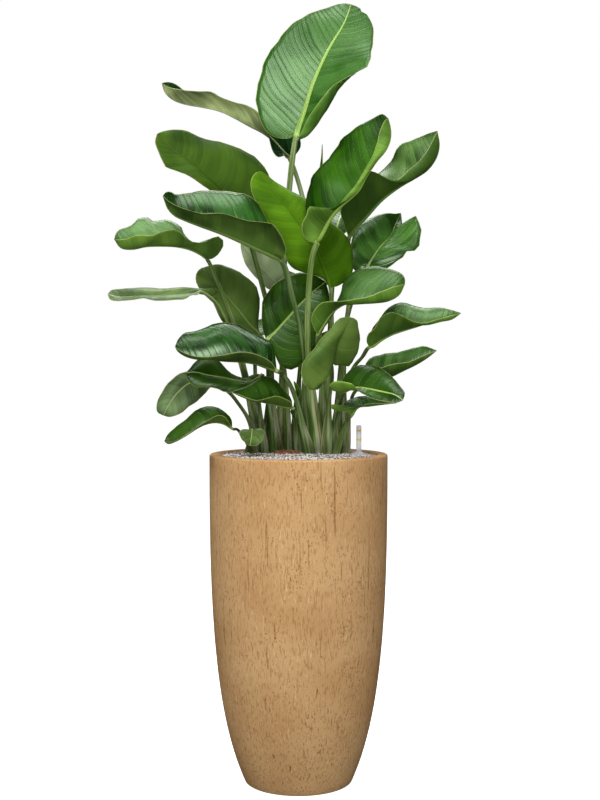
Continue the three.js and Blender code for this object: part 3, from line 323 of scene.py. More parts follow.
GRAIN_TONES = [  # share, red, green, blue
    (0.44, 240, 235, 228), (0.19, 206, 198, 190), (0.11, 156, 146, 140), (0.10, 96, 86, 82),
    (0.06, 146, 112, 94), (0.10, 48, 43, 42),
]
grain_places, grain_sizes, grain_turns, grain_tones = [], [], [], []
bed_radius = bore_radius(FILL_TOP) - WALL_GAP
rows = int(2 * bed_radius / GRAIN_ROWS) + 1
for row in range(rows):
    for column in range(rows):
        x = -bed_radius + (row + SCATTER.uniform(-0.3, 0.8)) * GRAIN_ROWS
        y = -bed_radius + (column + SCATTER.uniform(-0.3, 0.8)) * GRAIN_ROWS
        if math.hypot(x, y) > bed_radius:
            continue
        size = LEAST_GRAIN + GRAIN_RANGE * SCATTER.random() ** 2
        grain_places.append((x, y, fill_height(x, y) + SCATTER.uniform(-0.4, 0.15) * size))
        grain_sizes.append(size * SCATTER.uniform(0.9, 1.2))
        grain_turns.append([SCATTER.uniform(0, math.tau) for _ in range(2)])
        pick, share = SCATTER.random(), 0
        for part, *tone in GRAIN_TONES:
            share += part
            if pick <= share:
                break
        grain_tones.append([*colour(*tone)[:3], SCATTER.random()])
count = len(grain_places)
turns = np.array(grain_turns)
cos_a, sin_a = np.cos(turns[:, 0])[:, None], np.sin(turns[:, 0])[:, None]
cos_b, sin_b = np.cos(turns[:, 1])[:, None], np.sin(turns[:, 1])[:, None]
x, y, z = [grain_points[None, :, axis] * np.array(grain_sizes)[:, None] for axis in range(3)]
x, y = x * cos_a - y * sin_a, x * sin_a + y * cos_a
y, z = y * cos_b - z * sin_b, y * sin_b + z * cos_b
places = np.array(grain_places)
points = np.stack([x + places[:, :1], y + places[:, 1:2], z + places[:, 2:]], axis=2).reshape(-1, 3)
faces = (grain_faces[None] + np.arange(count)[:, None, None] * len(grain_points)).reshape(-1, 3)
grain_mesh = bpy.data.meshes.new("grains")
grain_mesh.from_pydata(points.tolist(), [], faces.tolist())
tones = grain_mesh.color_attributes.new("grain_tone", "FLOAT_COLOR", "POINT")
tones.data.foreach_set("color", np.repeat(np.array(grain_tones), len(grain_points), axis=0).ravel())
grains = bpy.data.objects.new("grains", grain_mesh)
scene.collection.objects.link(grains)


def stone(shade):
    tone = shade.node("Attribute", {"attribute_name": "grain_tone"})
    fleck = shade.noise(shade.position(), 1400, 2).step(0.35, 0.65)
    base = (fleck * 0.3).blend(tone, colour(150, 140, 132))
    normal = shade.node("Bump", {}, {"Height": fleck, "Strength": 0.5, "Distance": 0.0003})
    return {"Base Color": base, "Roughness": fleck.step(0, 1, 0.75, 0.95), "Normal": normal}


grain_mesh.materials.append(finish("stone_grains", stone))
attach(grains, "root")


# ---- Coir ------------------------------------------------------------------
# The ball of coir that the plant was raised in shows through the granulate at the front: brown fibre
# with flat bark chips pressed into it, lying loose on the fill.
COIR_X, COIR_Y = -0.027, 0.004
COIR_HALF_LENGTH, COIR_HALF_WIDTH = 0.037, 0.018
COIR_HEIGHT = 0.012  # above the granulate
CHIPS, CHIP_THICK, CHIP_LIFT = 46, 0.0013, 0.0012

bpy.ops.object.select_all(action="DESELECT")
bpy.ops.mesh.primitive_uv_sphere_add(segments=48, ring_count=24, radius=1, location=(0, 0, 0))
coir = bpy.context.object
coir.name = "coir_ball"
bpy.ops.object.mode_set(mode="EDIT")
bpy.ops.transform.resize(value=(COIR_HALF_LENGTH, COIR_HALF_WIDTH, COIR_HEIGHT))
bpy.ops.transform.translate(value=(COIR_X, COIR_Y, FILL_TOP))
bpy.ops.object.mode_set(mode="OBJECT")
lumps = bpy.data.textures.new("coir_lumps", "CLOUDS")
lumps.noise_scale = 0.007
roughen = coir.modifiers.new("lumps", "DISPLACE")
roughen.texture = lumps
roughen.texture_coords = "LOCAL"
roughen.strength = 0.003
bpy.ops.object.modifier_apply(modifier=roughen.name)

bpy.ops.object.select_all(action="DESELECT")
bpy.ops.mesh.primitive_cube_add(size=1, location=(0, 0, 0))
chips = [bpy.context.object]
bpy.ops.object.mode_set(mode="EDIT")
bpy.ops.mesh.subdivide(number_cuts=1)
bpy.ops.transform.vertex_random(offset=0.13, seed=8)
bpy.ops.object.mode_set(mode="OBJECT")
while len(chips) < CHIPS:
    chip = chips[0].copy()
    chip.data = chips[0].data.copy()
    scene.collection.objects.link(chip)
    chips.append(chip)
for chip in chips:
    angle, out = SCATTER.uniform(0, math.tau), math.sqrt(SCATTER.uniform(0.02, 0.95))
    x = COIR_X + math.cos(angle) * out * COIR_HALF_LENGTH
    y = COIR_Y + math.sin(angle) * out * COIR_HALF_WIDTH
    z = FILL_TOP + CHIP_LIFT + COIR_HEIGHT * math.sqrt(1 - out * out)
    size = Matrix.Diagonal((SCATTER.uniform(0.005, 0.011), SCATTER.uniform(0.0025, 0.005), CHIP_THICK, 1))
    spin = Matrix.Rotation(SCATTER.uniform(0, math.tau), 4, "Z")
    tip = Matrix.Rotation(SCATTER.uniform(-0.5, 0.5), 4, "X")
    chip.data.transform(Matrix.Translation((x, y, z)) @ spin @ tip @ size)
bpy.ops.object.select_all(action="DESELECT")
for chip in [coir, *chips]:
    chip.select_set(True)
bpy.context.view_layer.objects.active = coir
bpy.ops.object.join()


def coir_fibre(shade):
    strands = shade.noise(shade.position((1, 0.35, 1)), 700, 4, 0.7)
    clumps = shade.noise(shade.position(), 130, 2)
    base = clumps.step(0.35, 0.65).blend(colour(96, 62, 42), colour(156, 108, 78))
    base = (strands.step(0.45, 0.7) * 0.6).blend(base, colour(180, 136, 102))
    normal = shade.node("Bump", {}, {"Height": strands, "Strength": 1.0, "Distance": 0.0012})
    return {"Base Color": base, "Roughness": strands.step(0, 1, 0.85, 1), "Normal": normal}


coir.data.materials.clear()
coir.data.materials.append(finish("coir_fibre", coir_fibre))
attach(coir, "root")
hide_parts("coir_mound")


# ---- Water gauge -----------------------------------------------------------
# A moulded cap over the filling pipe carries a clear tube in which a red float rises with the water
# level. Two yellow marks show the lowest and highest level. The cap is pressed on to the pipe.
GAUGE_X, GAUGE_Y = 0.146, -0.010
TUBE_RADIUS, TUBE_TOP = 0.0062, 0.869
PIPE_RADIUS, PIPE_DEPTH = 0.0085, 0.25
FLOAT_RADIUS, ROD_RADIUS = 0.0035, 0.0018
GAUGE_SIDES = 64
MARKS = (0.834, 0.856)  # heights of the yellow marks

dome = [(0.0175, 0.0004), (0.018, 0.001), (0.018, 0.0023), (0.0176, 0.003), (0.0166, 0.0042),
        (0.015, 0.006), (0.0128, 0.0077), (0.011, 0.0088), (0.0096, 0.0098), (0.009, 0.011),
        (0.0088, 0.0118), (0.0084, 0.012), (0.0067, 0.012), (0.0066, 0.0117), (0.0066, 0.0082)]
tube_top = TUBE_TOP - FILL_TOP
tube = [(TUBE_RADIUS, 0.0084), (TUBE_RADIUS, tube_top - 0.0015), (TUBE_RADIUS - 0.0004, tube_top - 0.0006),
        (TUBE_RADIUS - 0.0012, tube_top), (0.0004, tube_top)]
rod = [(ROD_RADIUS, -PIPE_DEPTH), (ROD_RADIUS, 0.010), (FLOAT_RADIUS, 0.0118), (FLOAT_RADIUS, 0.0165),
       (FLOAT_RADIUS - 0.001, 0.0178), (0.0004, 0.018)]


def moulded_plastic(shade):
    dust = shade.noise(shade.position(), 240, 3)
    base = (dust.step(0.5, 0.8) * 0.5).blend(colour(186, 181, 190), colour(150, 142, 142))
    normal = shade.node("Bump", {}, {"Height": dust, "Strength": 0.15, "Distance": 0.0002})
    return {"Base Color": base, "Roughness": dust.step(0, 1, 0.3, 0.55), "Normal": normal}


def scale_tube(shade):
    height = shade.node("SeparateXYZ", {}, {"Vector": shade.node("TexCoord", out="Object")}, out=2)
    marks = sum(abs(height - mark).step(0.0016, 0.0021, 1, 0) for mark in MARKS)
    end = height.step(TUBE_TOP - 0.006, TUBE_TOP - 0.004)
    haze = shade.noise(shade.position((1, 1, 0.2)), 500, 2)
    base = haze.blend(colour(226, 226, 224), colour(240, 240, 238))
    base = marks.blend(base, colour(226, 196, 60))
    return {"Base Color": base, "Roughness": haze.step(0, 1, 0.1, 0.25),
            "Alpha": (marks + end).maths("MINIMUM", marks + end, 1.0) * 0.25 + 0.7}


def float_red(shade):
    streak = shade.noise(shade.position((1, 1, 0.3)), 600, 2)
    return {"Base Color": streak.blend(colour(176, 36, 28), colour(206, 58, 42)),
            "Roughness": streak.step(0, 1, 0.35, 0.5)}


for name, profile, node, slot, skin in (
    ("gauge_cap", [(PIPE_RADIUS, -PIPE_DEPTH), (PIPE_RADIUS, 0.0003), *dome], "gauge_base", "gauge_cap",
     moulded_plastic),
    ("gauge_tube_clear", tube, "gauge_tube", "gauge_clear", scale_tube),
    ("gauge_float_red", rod, "gauge_float", "gauge_red", float_red),
):
    piece = turned_piece(name, profile, (GAUGE_X, GAUGE_Y, FILL_TOP), GAUGE_SIDES, sharp=35)
    piece.data.materials.append(finish(skin.__name__, skin))
    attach(piece, "root")
    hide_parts(node)


# ---- Leaves ----------------------------------------------------------------
# Each leaf is one living piece, grown whole: a sheathing foot that stands in the granulate, a channelled
# stalk and a leathery blade folded up from its midrib.
BLUNT_TIP = 0.985  # share of a margin that the blade follows
BLADE_THICKNESS = 1.2
MARGIN_THICKNESS = 0.7
NARROWEST = 0.9  # half width of a blade at its very tip
ROOT_DEPTH = 30  # below the top of the fill
ROOT_STRAIGHT = 8  # above it
STALK_PITCH, BLADE_PITCH = 9, 7  # mm between the rows of points
NECK_ROWS = (0.0, 0.0015, 0.005, 0.011)  # more rows where the stalk opens to the blade
PATH_PARTS = 40  # parts of a curve between two of its points

# Shapes are in millimetres: root is where the stalk leaves the fill, stalk ends at the neck, rib runs
# from the neck to the tip, and face is the way the upper side looks at neck, middle and tip. Pairs are
# left, right seen from above. margins run along the two edges of a folded or twisted blade, and bulge is
# how far each half bows out. Other blades have a half width, raised by lift and curl degrees. sheath is
# half width, depth, length.
LEAF = dict(  # what a leaf has unless its own lines say otherwise
    slot="leaf", sheath=[21.5, 9, 220], neck_radius=5.5, widest=[0.42, 0.42], fullness=[0.6, 0.6],
    lobe=[0.15, 0.15], lift=[10, 10], curl=[0, 0], keel=3, notches=(), ripple=1.5, rib_share=0.5,
)
LEAVES = {}


def leaf(name, **entry):
    LEAVES[name] = {**LEAF, **entry}


leaf(
    "leaf_crown", tone="crown", slot="leaf_dark", sheath=[21.5, 10, 240], neck_radius=7, keel=7,
    root=[-38, 112], stalk=[[-39, 90, 1175], [-23, 70, 1445], [-6, 60, 1573]],
    rib=[[15, 66, 1640], [35, 75, 1705], [73, 90, 1791], [115, 105, 1865], [130, 112, 1908.5]],
    face=[[-0.2, -1, 0.25], [-0.1, -1, 0.3], [0, -0.9, 0.5]], half=[131, 138], lift=[[10, 5, 0], [5, 10, 5]],
    curl=[[0, 10, 10], [200, 188, 122, 32, 0, 0]], fullness=[0.5, 0.5], notches=[[1, 0.97, 0.35, 0.01]],
    ripple=0.1, rib_share=0.9,
)
leaf(
    "leaf_upper_left", tone="striped", sheath=[17.5, 9, 240], neck_radius=6, keel=7, root=[12, 88],
    stalk=[[23, 86, 1101], [33, 114, 1326], [9, 134, 1439], [-22, 142, 1531]],
    rib=[[-39, 141, 1551], [-64, 136, 1578], [-91, 129, 1598], [-121, 119, 1612], [-158, 107, 1630],
         [-194, 95, 1644], [-236, 84, 1651], [-279, 73, 1656], [-310, 63, 1666], [-327, 56, 1682],
         [-334, 52, 1703]],
    face=[[0.15, 0.3, 1]], bulge=[6, 4], ripple=0.5,
    margins=[
        [[-34, 125, 1537], [-51, 115, 1532], [-64, 108, 1546], [-71, 102, 1570], [-78, 94, 1598],
         [-98, 87, 1634], [-122, 77, 1652], [-156, 67, 1659], [-187, 58, 1668], [-214, 49, 1681],
         [-247, 42, 1681], [-281, 39, 1684], [-308, 39, 1689], [-323, 42, 1694]],
        [[-6, 150, 1545], [6, 158, 1569], [1, 163, 1592], [-27, 162, 1612], [-67, 154, 1636],
         [-109, 143, 1651], [-159, 127, 1658], [-208, 110, 1670], [-251, 97, 1678], [-280, 85, 1690],
         [-301, 73, 1704], [-320, 62, 1708]],
    ],
)
leaf(
    "leaf_left_high", tone="olive", sheath=[11.5, 9, 240], neck_radius=6, keel=7, root=[-26, 52],
    stalk=[[-36, 45, 1003], [-52, 35, 1076], [-79, 22, 1173], [-113, 8, 1298], [-133, -20, 1358]],
    rib=[[-159, -30, 1398], [-182, -40, 1427], [-210, -48, 1455], [-240, -57, 1484], [-268, -65, 1506],
         [-296, -72, 1522], [-316, -76, 1540], [-332, -80, 1559]],
    face=[[0.5, 0.75, 0.6]], bulge=[-10, -6],
    margins=[
        [[-93, 0, 1382], [-59, 8, 1421], [-67, 15, 1460], [-86, 17, 1497], [-115, 13, 1522], [-151, 5, 1541],
         [-189, -7, 1551], [-228, -22, 1557], [-263, -38, 1569], [-293, -54, 1572], [-320, -68, 1567]],
        [[-172, -50, 1384], [-202, -65, 1422], [-225, -78, 1439], [-255, -87, 1459], [-287, -92, 1472],
         [-312, -95, 1481], [-319, -96, 1493], [-328, -95, 1517], [-335, -92, 1540]],
    ],
)
leaf(
    "leaf_left_gutter", tone="glossy", slot="leaf_dark", sheath=[21.5, 10, 240], neck_radius=7.5, keel=7,
    root=[23, 55],
    stalk=[[18, 20, 932], [17, -35, 1027], [7, -75, 1094], [-16, -135, 1183], [-40, -180, 1257]],
    rib=[[-65, -184, 1270], [-92, -188, 1281], [-133, -193, 1299], [-178, -198, 1317], [-223, -204, 1332],
         [-254, -209, 1343], [-279, -212, 1354], [-294, -214, 1369], [-301, -214, 1385], [-306, -212, 1399]],
    face=[[0, -0.3, 1]], bulge=[[6, 14, 14, 8], [4, 8, 8, 4]], ripple=0,
    margins=[
        [[-33, -205, 1262], [-27, -217, 1277], [-32, -228, 1294], [-43, -236, 1313], [-57, -243, 1333],
         [-79, -249, 1337], [-108, -253, 1338], [-130, -254, 1344], [-152, -254, 1352], [-179, -252, 1356],
         [-208, -248, 1355], [-242, -242, 1363], [-270, -234, 1373], [-291, -225, 1385]],
        [[-45, -165, 1285], [-63, -155, 1327], [-77, -147, 1362], [-91, -142, 1386], [-110, -141, 1403],
         [-128, -142, 1412], [-158, -145, 1416], [-190, -152, 1416], [-217, -160, 1418], [-248, -170, 1410],
         [-279, -183, 1406], [-291, -195, 1411], [-301, -205, 1408]],
    ],
)
leaf(
    "leaf_centre_bright", tone="bright", slot="leaf_bright", keel=7, root=[52, 85],
    stalk=[[67, 45, 929], [80, 0, 1075], [79, -30, 1147], [77, -50, 1199]],
    rib=[[61, -60, 1241], [39, -75, 1294], [11, -90, 1333], [-24, -105, 1380], [-62, -118, 1425],
         [-92, -125, 1466]],
    face=[[0.3, 0.85, 0.4]], bulge=[-14, -10],
    margins=[
        [[99, -30, 1207], [124, -23, 1226], [131, -22, 1262], [128, -26, 1298], [109, -37, 1324],
         [80, -48, 1353], [51, -59, 1385], [20, -73, 1406], [-20, -87, 1424], [-53, -100, 1443],
         [-76, -112, 1460]],
        [[66, -50, 1215], [46, -60, 1227], [11, -73, 1234], [-18, -87, 1250], [-36, -101, 1285],
         [-52, -112, 1319], [-71, -122, 1351], [-94, -131, 1387], [-107, -136, 1414], [-110, -137, 1437],
         [-103, -135, 1456]],
    ],
)
leaf(
    "leaf_right_raised", tone="vivid", sheath=[21.5, 11, 260], neck_radius=7, keel=7, root=[45, 30],
    stalk=[[32, -15, 932], [22, -85, 1075], [24, -135, 1190], [31, -172, 1257], [42, -195, 1294]],
    rib=[[56, -192, 1322], [72, -189, 1351], [93, -181, 1377], [118, -173, 1398], [139, -164, 1418],
         [155, -156, 1448], [179, -149, 1484], [202, -140, 1512], [213, -131, 1539], [214, -120, 1564],
         [209, -107, 1591]],
    face=[[-0.5, -0.85, 0.2]], bulge=[12, [0, -4, -2, -4, -6, -8, -4]], rib_share=0.6,
    margins=[
        [[24, -165, 1322], [17, -148, 1362], [18, -130, 1399], [25, -112, 1431], [36, -95, 1458],
         [53, -88, 1485], [74, -80, 1507], [93, -78, 1526], [102, -75, 1545], [126, -80, 1567],
         [151, -85, 1582], [174, -92, 1594], [195, -100, 1603]],
        [[24, -205, 1298], [8, -210, 1316], [8, -215, 1338], [19, -218, 1358], [24, -218, 1375],
         [32, -210, 1370], [42, -202, 1362], [63, -194, 1368], [83, -185, 1370], [106, -174, 1398],
         [130, -164, 1431], [153, -154, 1469], [169, -145, 1498], [181, -136, 1527], [189, -127, 1560],
         [199, -118, 1582]],
    ],
)
leaf(
    "leaf_upper_right", tone="olive_light", slot="leaf_dark", sheath=[17.5, 8, 220], neck_radius=6, keel=7,
    root=[110, 75],
    stalk=[[109, 60, 928], [116, 40, 1100], [125, 22, 1197], [122, 0, 1322]],
    rib=[[139, 0, 1348], [163, 0, 1374], [199, 0, 1413], [245, 3, 1447], [281, 7, 1467], [311, 10, 1486],
         [333, 13, 1515], [341, 17, 1547], [336, 20, 1582]],
    face=[[-0.3, 0, 1]], bulge=[8, [-6, -10, -8]],
    margins=[
        [[130, 30, 1363], [141, 50, 1406], [166, 65, 1449], [196, 75, 1487], [218, 75, 1507],
         [235, 70, 1526], [242, 60, 1544], [253, 50, 1554], [279, 40, 1563], [310, 30, 1576]],
        [[109, -20, 1351], [101, -36, 1385], [122, -49, 1415], [146, -59, 1449], [169, -57, 1476],
         [189, -51, 1469], [209, -39, 1460], [236, -26, 1458], [260, -14, 1481], [290, -4, 1506],
         [312, 4, 1536], [325, 10, 1561]],
    ],
)
leaf(
    "leaf_right_back", tone="glossy_mid", slot="leaf_dark", sheath=[11.5, 8, 220], keel=7, root=[93, 88],
    stalk=[[98, 80, 928], [115, 82, 1101], [137, 80, 1187], [167, 72, 1254]],
    rib=[[185, 91, 1282], [206, 118, 1311], [233, 148, 1339], [244, 172, 1366], [253, 186, 1385],
         [261, 190, 1401]],
    face=[[0, -0.8, 0.6]], bulge=[10, 6],
    margins=[
        [[144, 70, 1244], [129, 70, 1268], [130, 81, 1306], [138, 100, 1342], [156, 125, 1368],
         [185, 150, 1387], [222, 171, 1398], [248, 185, 1398]],
        [[194, 80, 1247], [217, 83, 1253], [239, 85, 1269], [262, 88, 1284], [269, 92, 1297],
         [295, 97, 1301], [302, 103, 1323], [306, 112, 1346], [299, 120, 1374], [289, 128, 1393],
         [293, 138, 1373], [284, 148, 1356], [265, 162, 1345], [263, 175, 1369]],
    ],
)
leaf(
    "leaf_right_folded", tone="mid_deep", sheath=[17.5, 8, 200], keel=4, root=[62, 58],
    stalk=[[57, 20, 931], [54, -50, 1016], [46, -125, 1086]],
    rib=[[62, -132, 1116], [82, -139, 1142], [108, -144, 1158], [142, -148, 1159], [177, -151, 1160],
         [207, -154, 1164], [232, -156, 1178], [245, -158, 1203]],
    face=[[0, -0.2, 1]], bulge=[8, -6],
    margins=[
        [[69, -120, 1116], [90, -110, 1149], [100, -102, 1178], [105, -95, 1206], [121, -92, 1229],
         [145, -92, 1244], [175, -95, 1247], [207, -105, 1241], [237, -118, 1231], [246, -135, 1220]],
        [[36, -145, 1102], [30, -158, 1125], [38, -168, 1145], [54, -175, 1159], [79, -177, 1163],
         [109, -177, 1166], [141, -176, 1170], [164, -173, 1175], [189, -170, 1186], [217, -166, 1196]],
    ],
)
leaf(
    "leaf_right_long", tone="mid", sheath=[13.5, 8, 180], neck_radius=5, keel=4, root=[92, 56],
    stalk=[[96, 35, 906], [133, 0, 1008], [154, -15, 1035], [168, -60, 1058]],
    rib=[[177, -60, 1061], [196, -61, 1075], [220, -62, 1088], [246, -64, 1097], [277, -65, 1106],
         [305, -65, 1114], [336, -65, 1119], [364, -64, 1124], [386, -62, 1139]],
    face=[[0, -0.2, 1]], bulge=[6, -6],
    margins=[
        [[169, -50, 1082], [178, -37, 1104], [191, -25, 1123], [206, -15, 1142], [225, -12, 1157],
         [247, -13, 1164], [275, -20, 1159], [310, -30, 1152], [345, -41, 1152], [366, -52, 1146]],
        [[161, -75, 1073], [165, -88, 1091], [180, -99, 1105], [191, -109, 1126], [205, -111, 1136],
         [221, -111, 1139], [245, -106, 1131], [269, -100, 1120], [295, -94, 1115], [322, -86, 1123],
         [349, -78, 1130], [373, -70, 1136]],
    ],
)
leaf(
    "leaf_right_low", tone="mid", sheath=[13.5, 8, 120], neck_radius=4.5, root=[114, 45],
    stalk=[[120, 28, 870], [128, 5, 932], [151, -58, 966]],
    rib=[[185, -59, 977], [222, -61, 989], [253, -62, 1004], [279, -62, 1016], [306, -61, 1032],
         [329, -60, 1050]],
    face=[[0, -0.2, 1]], bulge=[5, -4],
    margins=[
        [[152, -50, 994], [162, -36, 1020], [177, -28, 1034], [198, -26, 1040], [237, -29, 1044],
         [260, -37, 1052], [297, -46, 1061], [316, -55, 1055]],
        [[160, -72, 987], [181, -87, 1006], [201, -95, 1012], [227, -95, 1019], [258, -88, 1024],
         [287, -78, 1035], [312, -66, 1045]],
    ],
)
leaf(
    "leaf_front_right", tone="dark_bright", slot="leaf_dark", sheath=[11.5, 8, 100], neck_radius=5, keel=4,
    root=[85, 24], stalk=[[90, 2, 860], [98, -45, 915], [109, -120, 955]],
    rib=[[136, -138, 964], [165, -160, 961], [196, -182, 955], [220, -200, 949], [238, -206, 937]],
    face=[[0, -0.35, 1]], bulge=[6, [-8, -16, -12, -6, 0]],
    margins=[
        [[102, -105, 967], [107, -95, 985], [121, -92, 1004], [140, -95, 1014], [158, -108, 1015],
         [183, -125, 1013], [203, -145, 1003], [220, -165, 984], [235, -183, 963], [242, -200, 951]],
        [[83, -140, 956], [71, -152, 966], [75, -162, 976], [91, -168, 980], [112, -172, 978],
         [128, -175, 973], [141, -181, 957], [161, -188, 944], [184, -195, 936], [206, -201, 933],
         [226, -206, 932]],
    ],
)
leaf(
    "leaf_front_right_small", tone="mid", sheath=[10.5, 6, 80], neck_radius=4, root=[92, 2],
    stalk=[[104, -15, 849], [115, -30, 880], [127, -80, 897]],
    rib=[[139, -78, 914], [162, -74, 922], [196, -70, 924], [234, -66, 925]],
    face=[[0, -0.4, 1]], bulge=[3, -3],
    margins=[
        [[110, -70, 909], [108, -58, 923], [128, -50, 937], [161, -52, 942], [204, -58, 935]],
        [[108, -88, 906], [84, -95, 909], [74, -99, 920], [81, -99, 927], [100, -96, 915], [126, -91, 917],
         [150, -85, 917], [184, -76, 921]],
    ],
)
leaf(
    "leaf_front_twisted", tone="pale", sheath=[15.5, 8, 160], neck_radius=4.5, root=[68, 8],
    stalk=[[74, -40, 933], [80, -75, 988], [76, -125, 1047]],
    rib=[[87, -148, 1067], [103, -150, 1090], [117, -145, 1111], [129, -138, 1125]],
    face=[[-0.1, 0.9, 0.4]], bulge=[-6, [-8, -16, -14, -4]],
    margins=[
        [[81, -118, 1018], [99, -115, 1016], [116, -112, 1014], [130, -112, 1028], [142, -114, 1054],
         [144, -119, 1079], [139, -124, 1102], [136, -130, 1119]],
        [[71, -150, 1021], [64, -162, 991], [54, -173, 968], [38, -180, 957], [22, -186, 962],
         [10, -188, 978], [6, -189, 1005], [12, -186, 1026], [24, -182, 1040], [40, -177, 1058],
         [56, -169, 1081], [75, -161, 1099], [91, -154, 1121], [110, -148, 1127]],
    ],
)
leaf(
    "leaf_centre_dark", tone="dark", slot="leaf_dark", sheath=[19.5, 10, 220], neck_radius=6, keel=7,
    root=[-55, 44], stalk=[[-69, 32, 931], [-73, 20, 1003], [-76, -14, 1073]],
    rib=[[-54, -12, 1097], [-30, -10, 1124], [4, -8, 1162], [37, -5, 1194], [66, 0, 1216]],
    face=[[0.3, -0.9, 0.3]], bulge=[6, 6],
    margins=[
        [[-85, -8, 1097], [-88, -3, 1133], [-86, 1, 1172], [-69, 3, 1199], [-40, 3, 1222], [-4, 1, 1236],
         [33, -2, 1234]],
        [[-59, -16, 1044], [-40, -18, 1008], [-8, -18, 1008], [23, -15, 1034], [52, -12, 1083],
         [71, -8, 1138], [75, -4, 1179]],
    ],
)
leaf(
    "leaf_left_round", tone="pale", sheath=[11.5, 9, 200], keel=5, root=[-81, 62],
    stalk=[[-65, 60, 928], [-77, 51, 1027], [-90, 40, 1081]],
    rib=[[-119, 30, 1112], [-145, 25, 1146], [-172, 22, 1178], [-204, 26, 1219], [-228, 34, 1254]],
    face=[[0.5, 0.8, 0.3]], bulge=[-8, -5],
    margins=[
        [[-100, 55, 1108], [-97, 59, 1142], [-95, 61, 1177], [-110, 60, 1210], [-136, 55, 1236],
         [-168, 48, 1253], [-199, 40, 1261]],
        [[-126, 30, 1078], [-164, 17, 1097], [-190, 8, 1129], [-205, 2, 1163], [-229, 2, 1187],
         [-246, 7, 1211], [-249, 13, 1231], [-240, 22, 1248]],
    ],
)
leaf(
    "leaf_left_curly", tone="mid", sheath=[9, 8, 220], neck_radius=5, keel=4, root=[-74, 92],
    stalk=[[-106, 60, 906], [-137, 30, 1027], [-160, 5, 1123], [-202, -22, 1231], [-219, -30, 1269]],
    rib=[[-236, -34, 1282], [-259, -39, 1292], [-287, -44, 1298], [-325, -50, 1299], [-362, -54, 1297],
         [-393, -58, 1290], [-421, -60, 1293], [-437, -60, 1314]],
    face=[[0, -0.45, 0.9]], bulge=[[-6, -4, -6, -5], 5], ripple=3.5,
    margins=[
        [[-204, -45, 1269], [-187, -54, 1282], [-178, -61, 1302], [-183, -66, 1317], [-195, -69, 1321],
         [-214, -70, 1310], [-240, -72, 1304], [-261, -75, 1311], [-277, -79, 1328], [-298, -83, 1335],
         [-326, -85, 1331], [-349, -85, 1322], [-378, -84, 1322], [-404, -80, 1313], [-424, -75, 1311]],
        [[-237, -18, 1296], [-261, -10, 1316], [-276, -3, 1332], [-286, 1, 1348], [-306, 4, 1358],
         [-323, 4, 1365], [-344, 3, 1365], [-365, -3, 1375], [-384, -12, 1366], [-401, -25, 1348],
         [-424, -35, 1339], [-435, -45, 1329]],
    ],
)
leaf(
    "leaf_left_flat", tone="soft", sheath=[9, 8, 200], neck_radius=4.5, root=[-100, 88],
    stalk=[[-119, 65, 905], [-142, 40, 1015], [-176, -10, 1123], [-200, -33, 1167], [-235, -43, 1191]],
    rib=[[-258, -53, 1186], [-300, -62, 1183], [-340, -68, 1180], [-380, -73, 1178], [-422, -75, 1176],
         [-451, -75, 1183]],
    face=[[0, 0.05, 1]], bulge=[[3, 4, 3], 3], ripple=2.5,
    margins=[
        [[-239, -60, 1182], [-254, -73, 1181], [-267, -85, 1172], [-288, -95, 1170], [-315, -100, 1166],
         [-341, -103, 1166], [-362, -104, 1174], [-395, -103, 1169], [-426, -98, 1166], [-443, -90, 1170]],
        [[-215, -30, 1181], [-193, -26, 1186], [-192, -27, 1199], [-205, -31, 1200], [-226, -36, 1195],
         [-254, -39, 1196], [-293, -40, 1201], [-335, -42, 1200], [-378, -46, 1199], [-420, -52, 1196],
         [-445, -60, 1192]],
    ],
)
leaf(
    "leaf_front_left_glossy", tone="glossy", slot="leaf_dark", sheath=[15.5, 9, 110], neck_radius=6, keel=5,
    root=[26, 8],
    stalk=[[11, -5, 862], [4, -20, 898], [-20, -60, 969], [-38, -80, 995], [-50, -125, 1002]],
    rib=[[-76, -130, 1012], [-103, -136, 1021], [-136, -142, 1025], [-170, -147, 1026], [-205, -150, 1029],
         [-235, -150, 1030], [-260, -149, 1036], [-279, -147, 1048], [-286, -145, 1060]],
    face=[[0, -0.25, 1]], bulge=[-4, 14], ripple=0.8,
    margins=[
        [[-61, -145, 1022], [-79, -158, 1034], [-100, -169, 1043], [-122, -178, 1047], [-150, -181, 1045],
         [-180, -181, 1040], [-207, -180, 1036], [-235, -175, 1037], [-259, -168, 1044], [-275, -160, 1052]],
        [[-53, -115, 1023], [-56, -102, 1047], [-60, -92, 1065], [-77, -86, 1075], [-100, -82, 1087],
         [-124, -80, 1101], [-147, -82, 1113], [-180, -86, 1116], [-211, -91, 1106], [-240, -101, 1096],
         [-268, -112, 1089], [-281, -125, 1076]],
    ],
)
leaf(
    "leaf_front_left_low", tone="dark", slot="leaf_dark", sheath=[11.5, 7, 120], neck_radius=4.5,
    root=[-84, 38], stalk=[[-94, 30, 900], [-98, 8, 960], [-87, -60, 992]],
    rib=[[-115, -65, 975], [-143, -71, 978], [-174, -77, 985], [-214, -82, 992], [-244, -85, 999],
         [-266, -86, 997]],
    face=[[0, -0.6, 0.8]], bulge=[5, 6],
    margins=[
        [[-96, -72, 979], [-119, -82, 966], [-143, -90, 955], [-171, -97, 952], [-192, -99, 961],
         [-213, -100, 965], [-234, -98, 964], [-253, -96, 972], [-263, -92, 985]],
        [[-101, -48, 994], [-133, -44, 984], [-161, -43, 993], [-183, -46, 1017], [-204, -51, 1032],
         [-227, -58, 1035], [-246, -66, 1023], [-257, -76, 1007]],
    ],
)
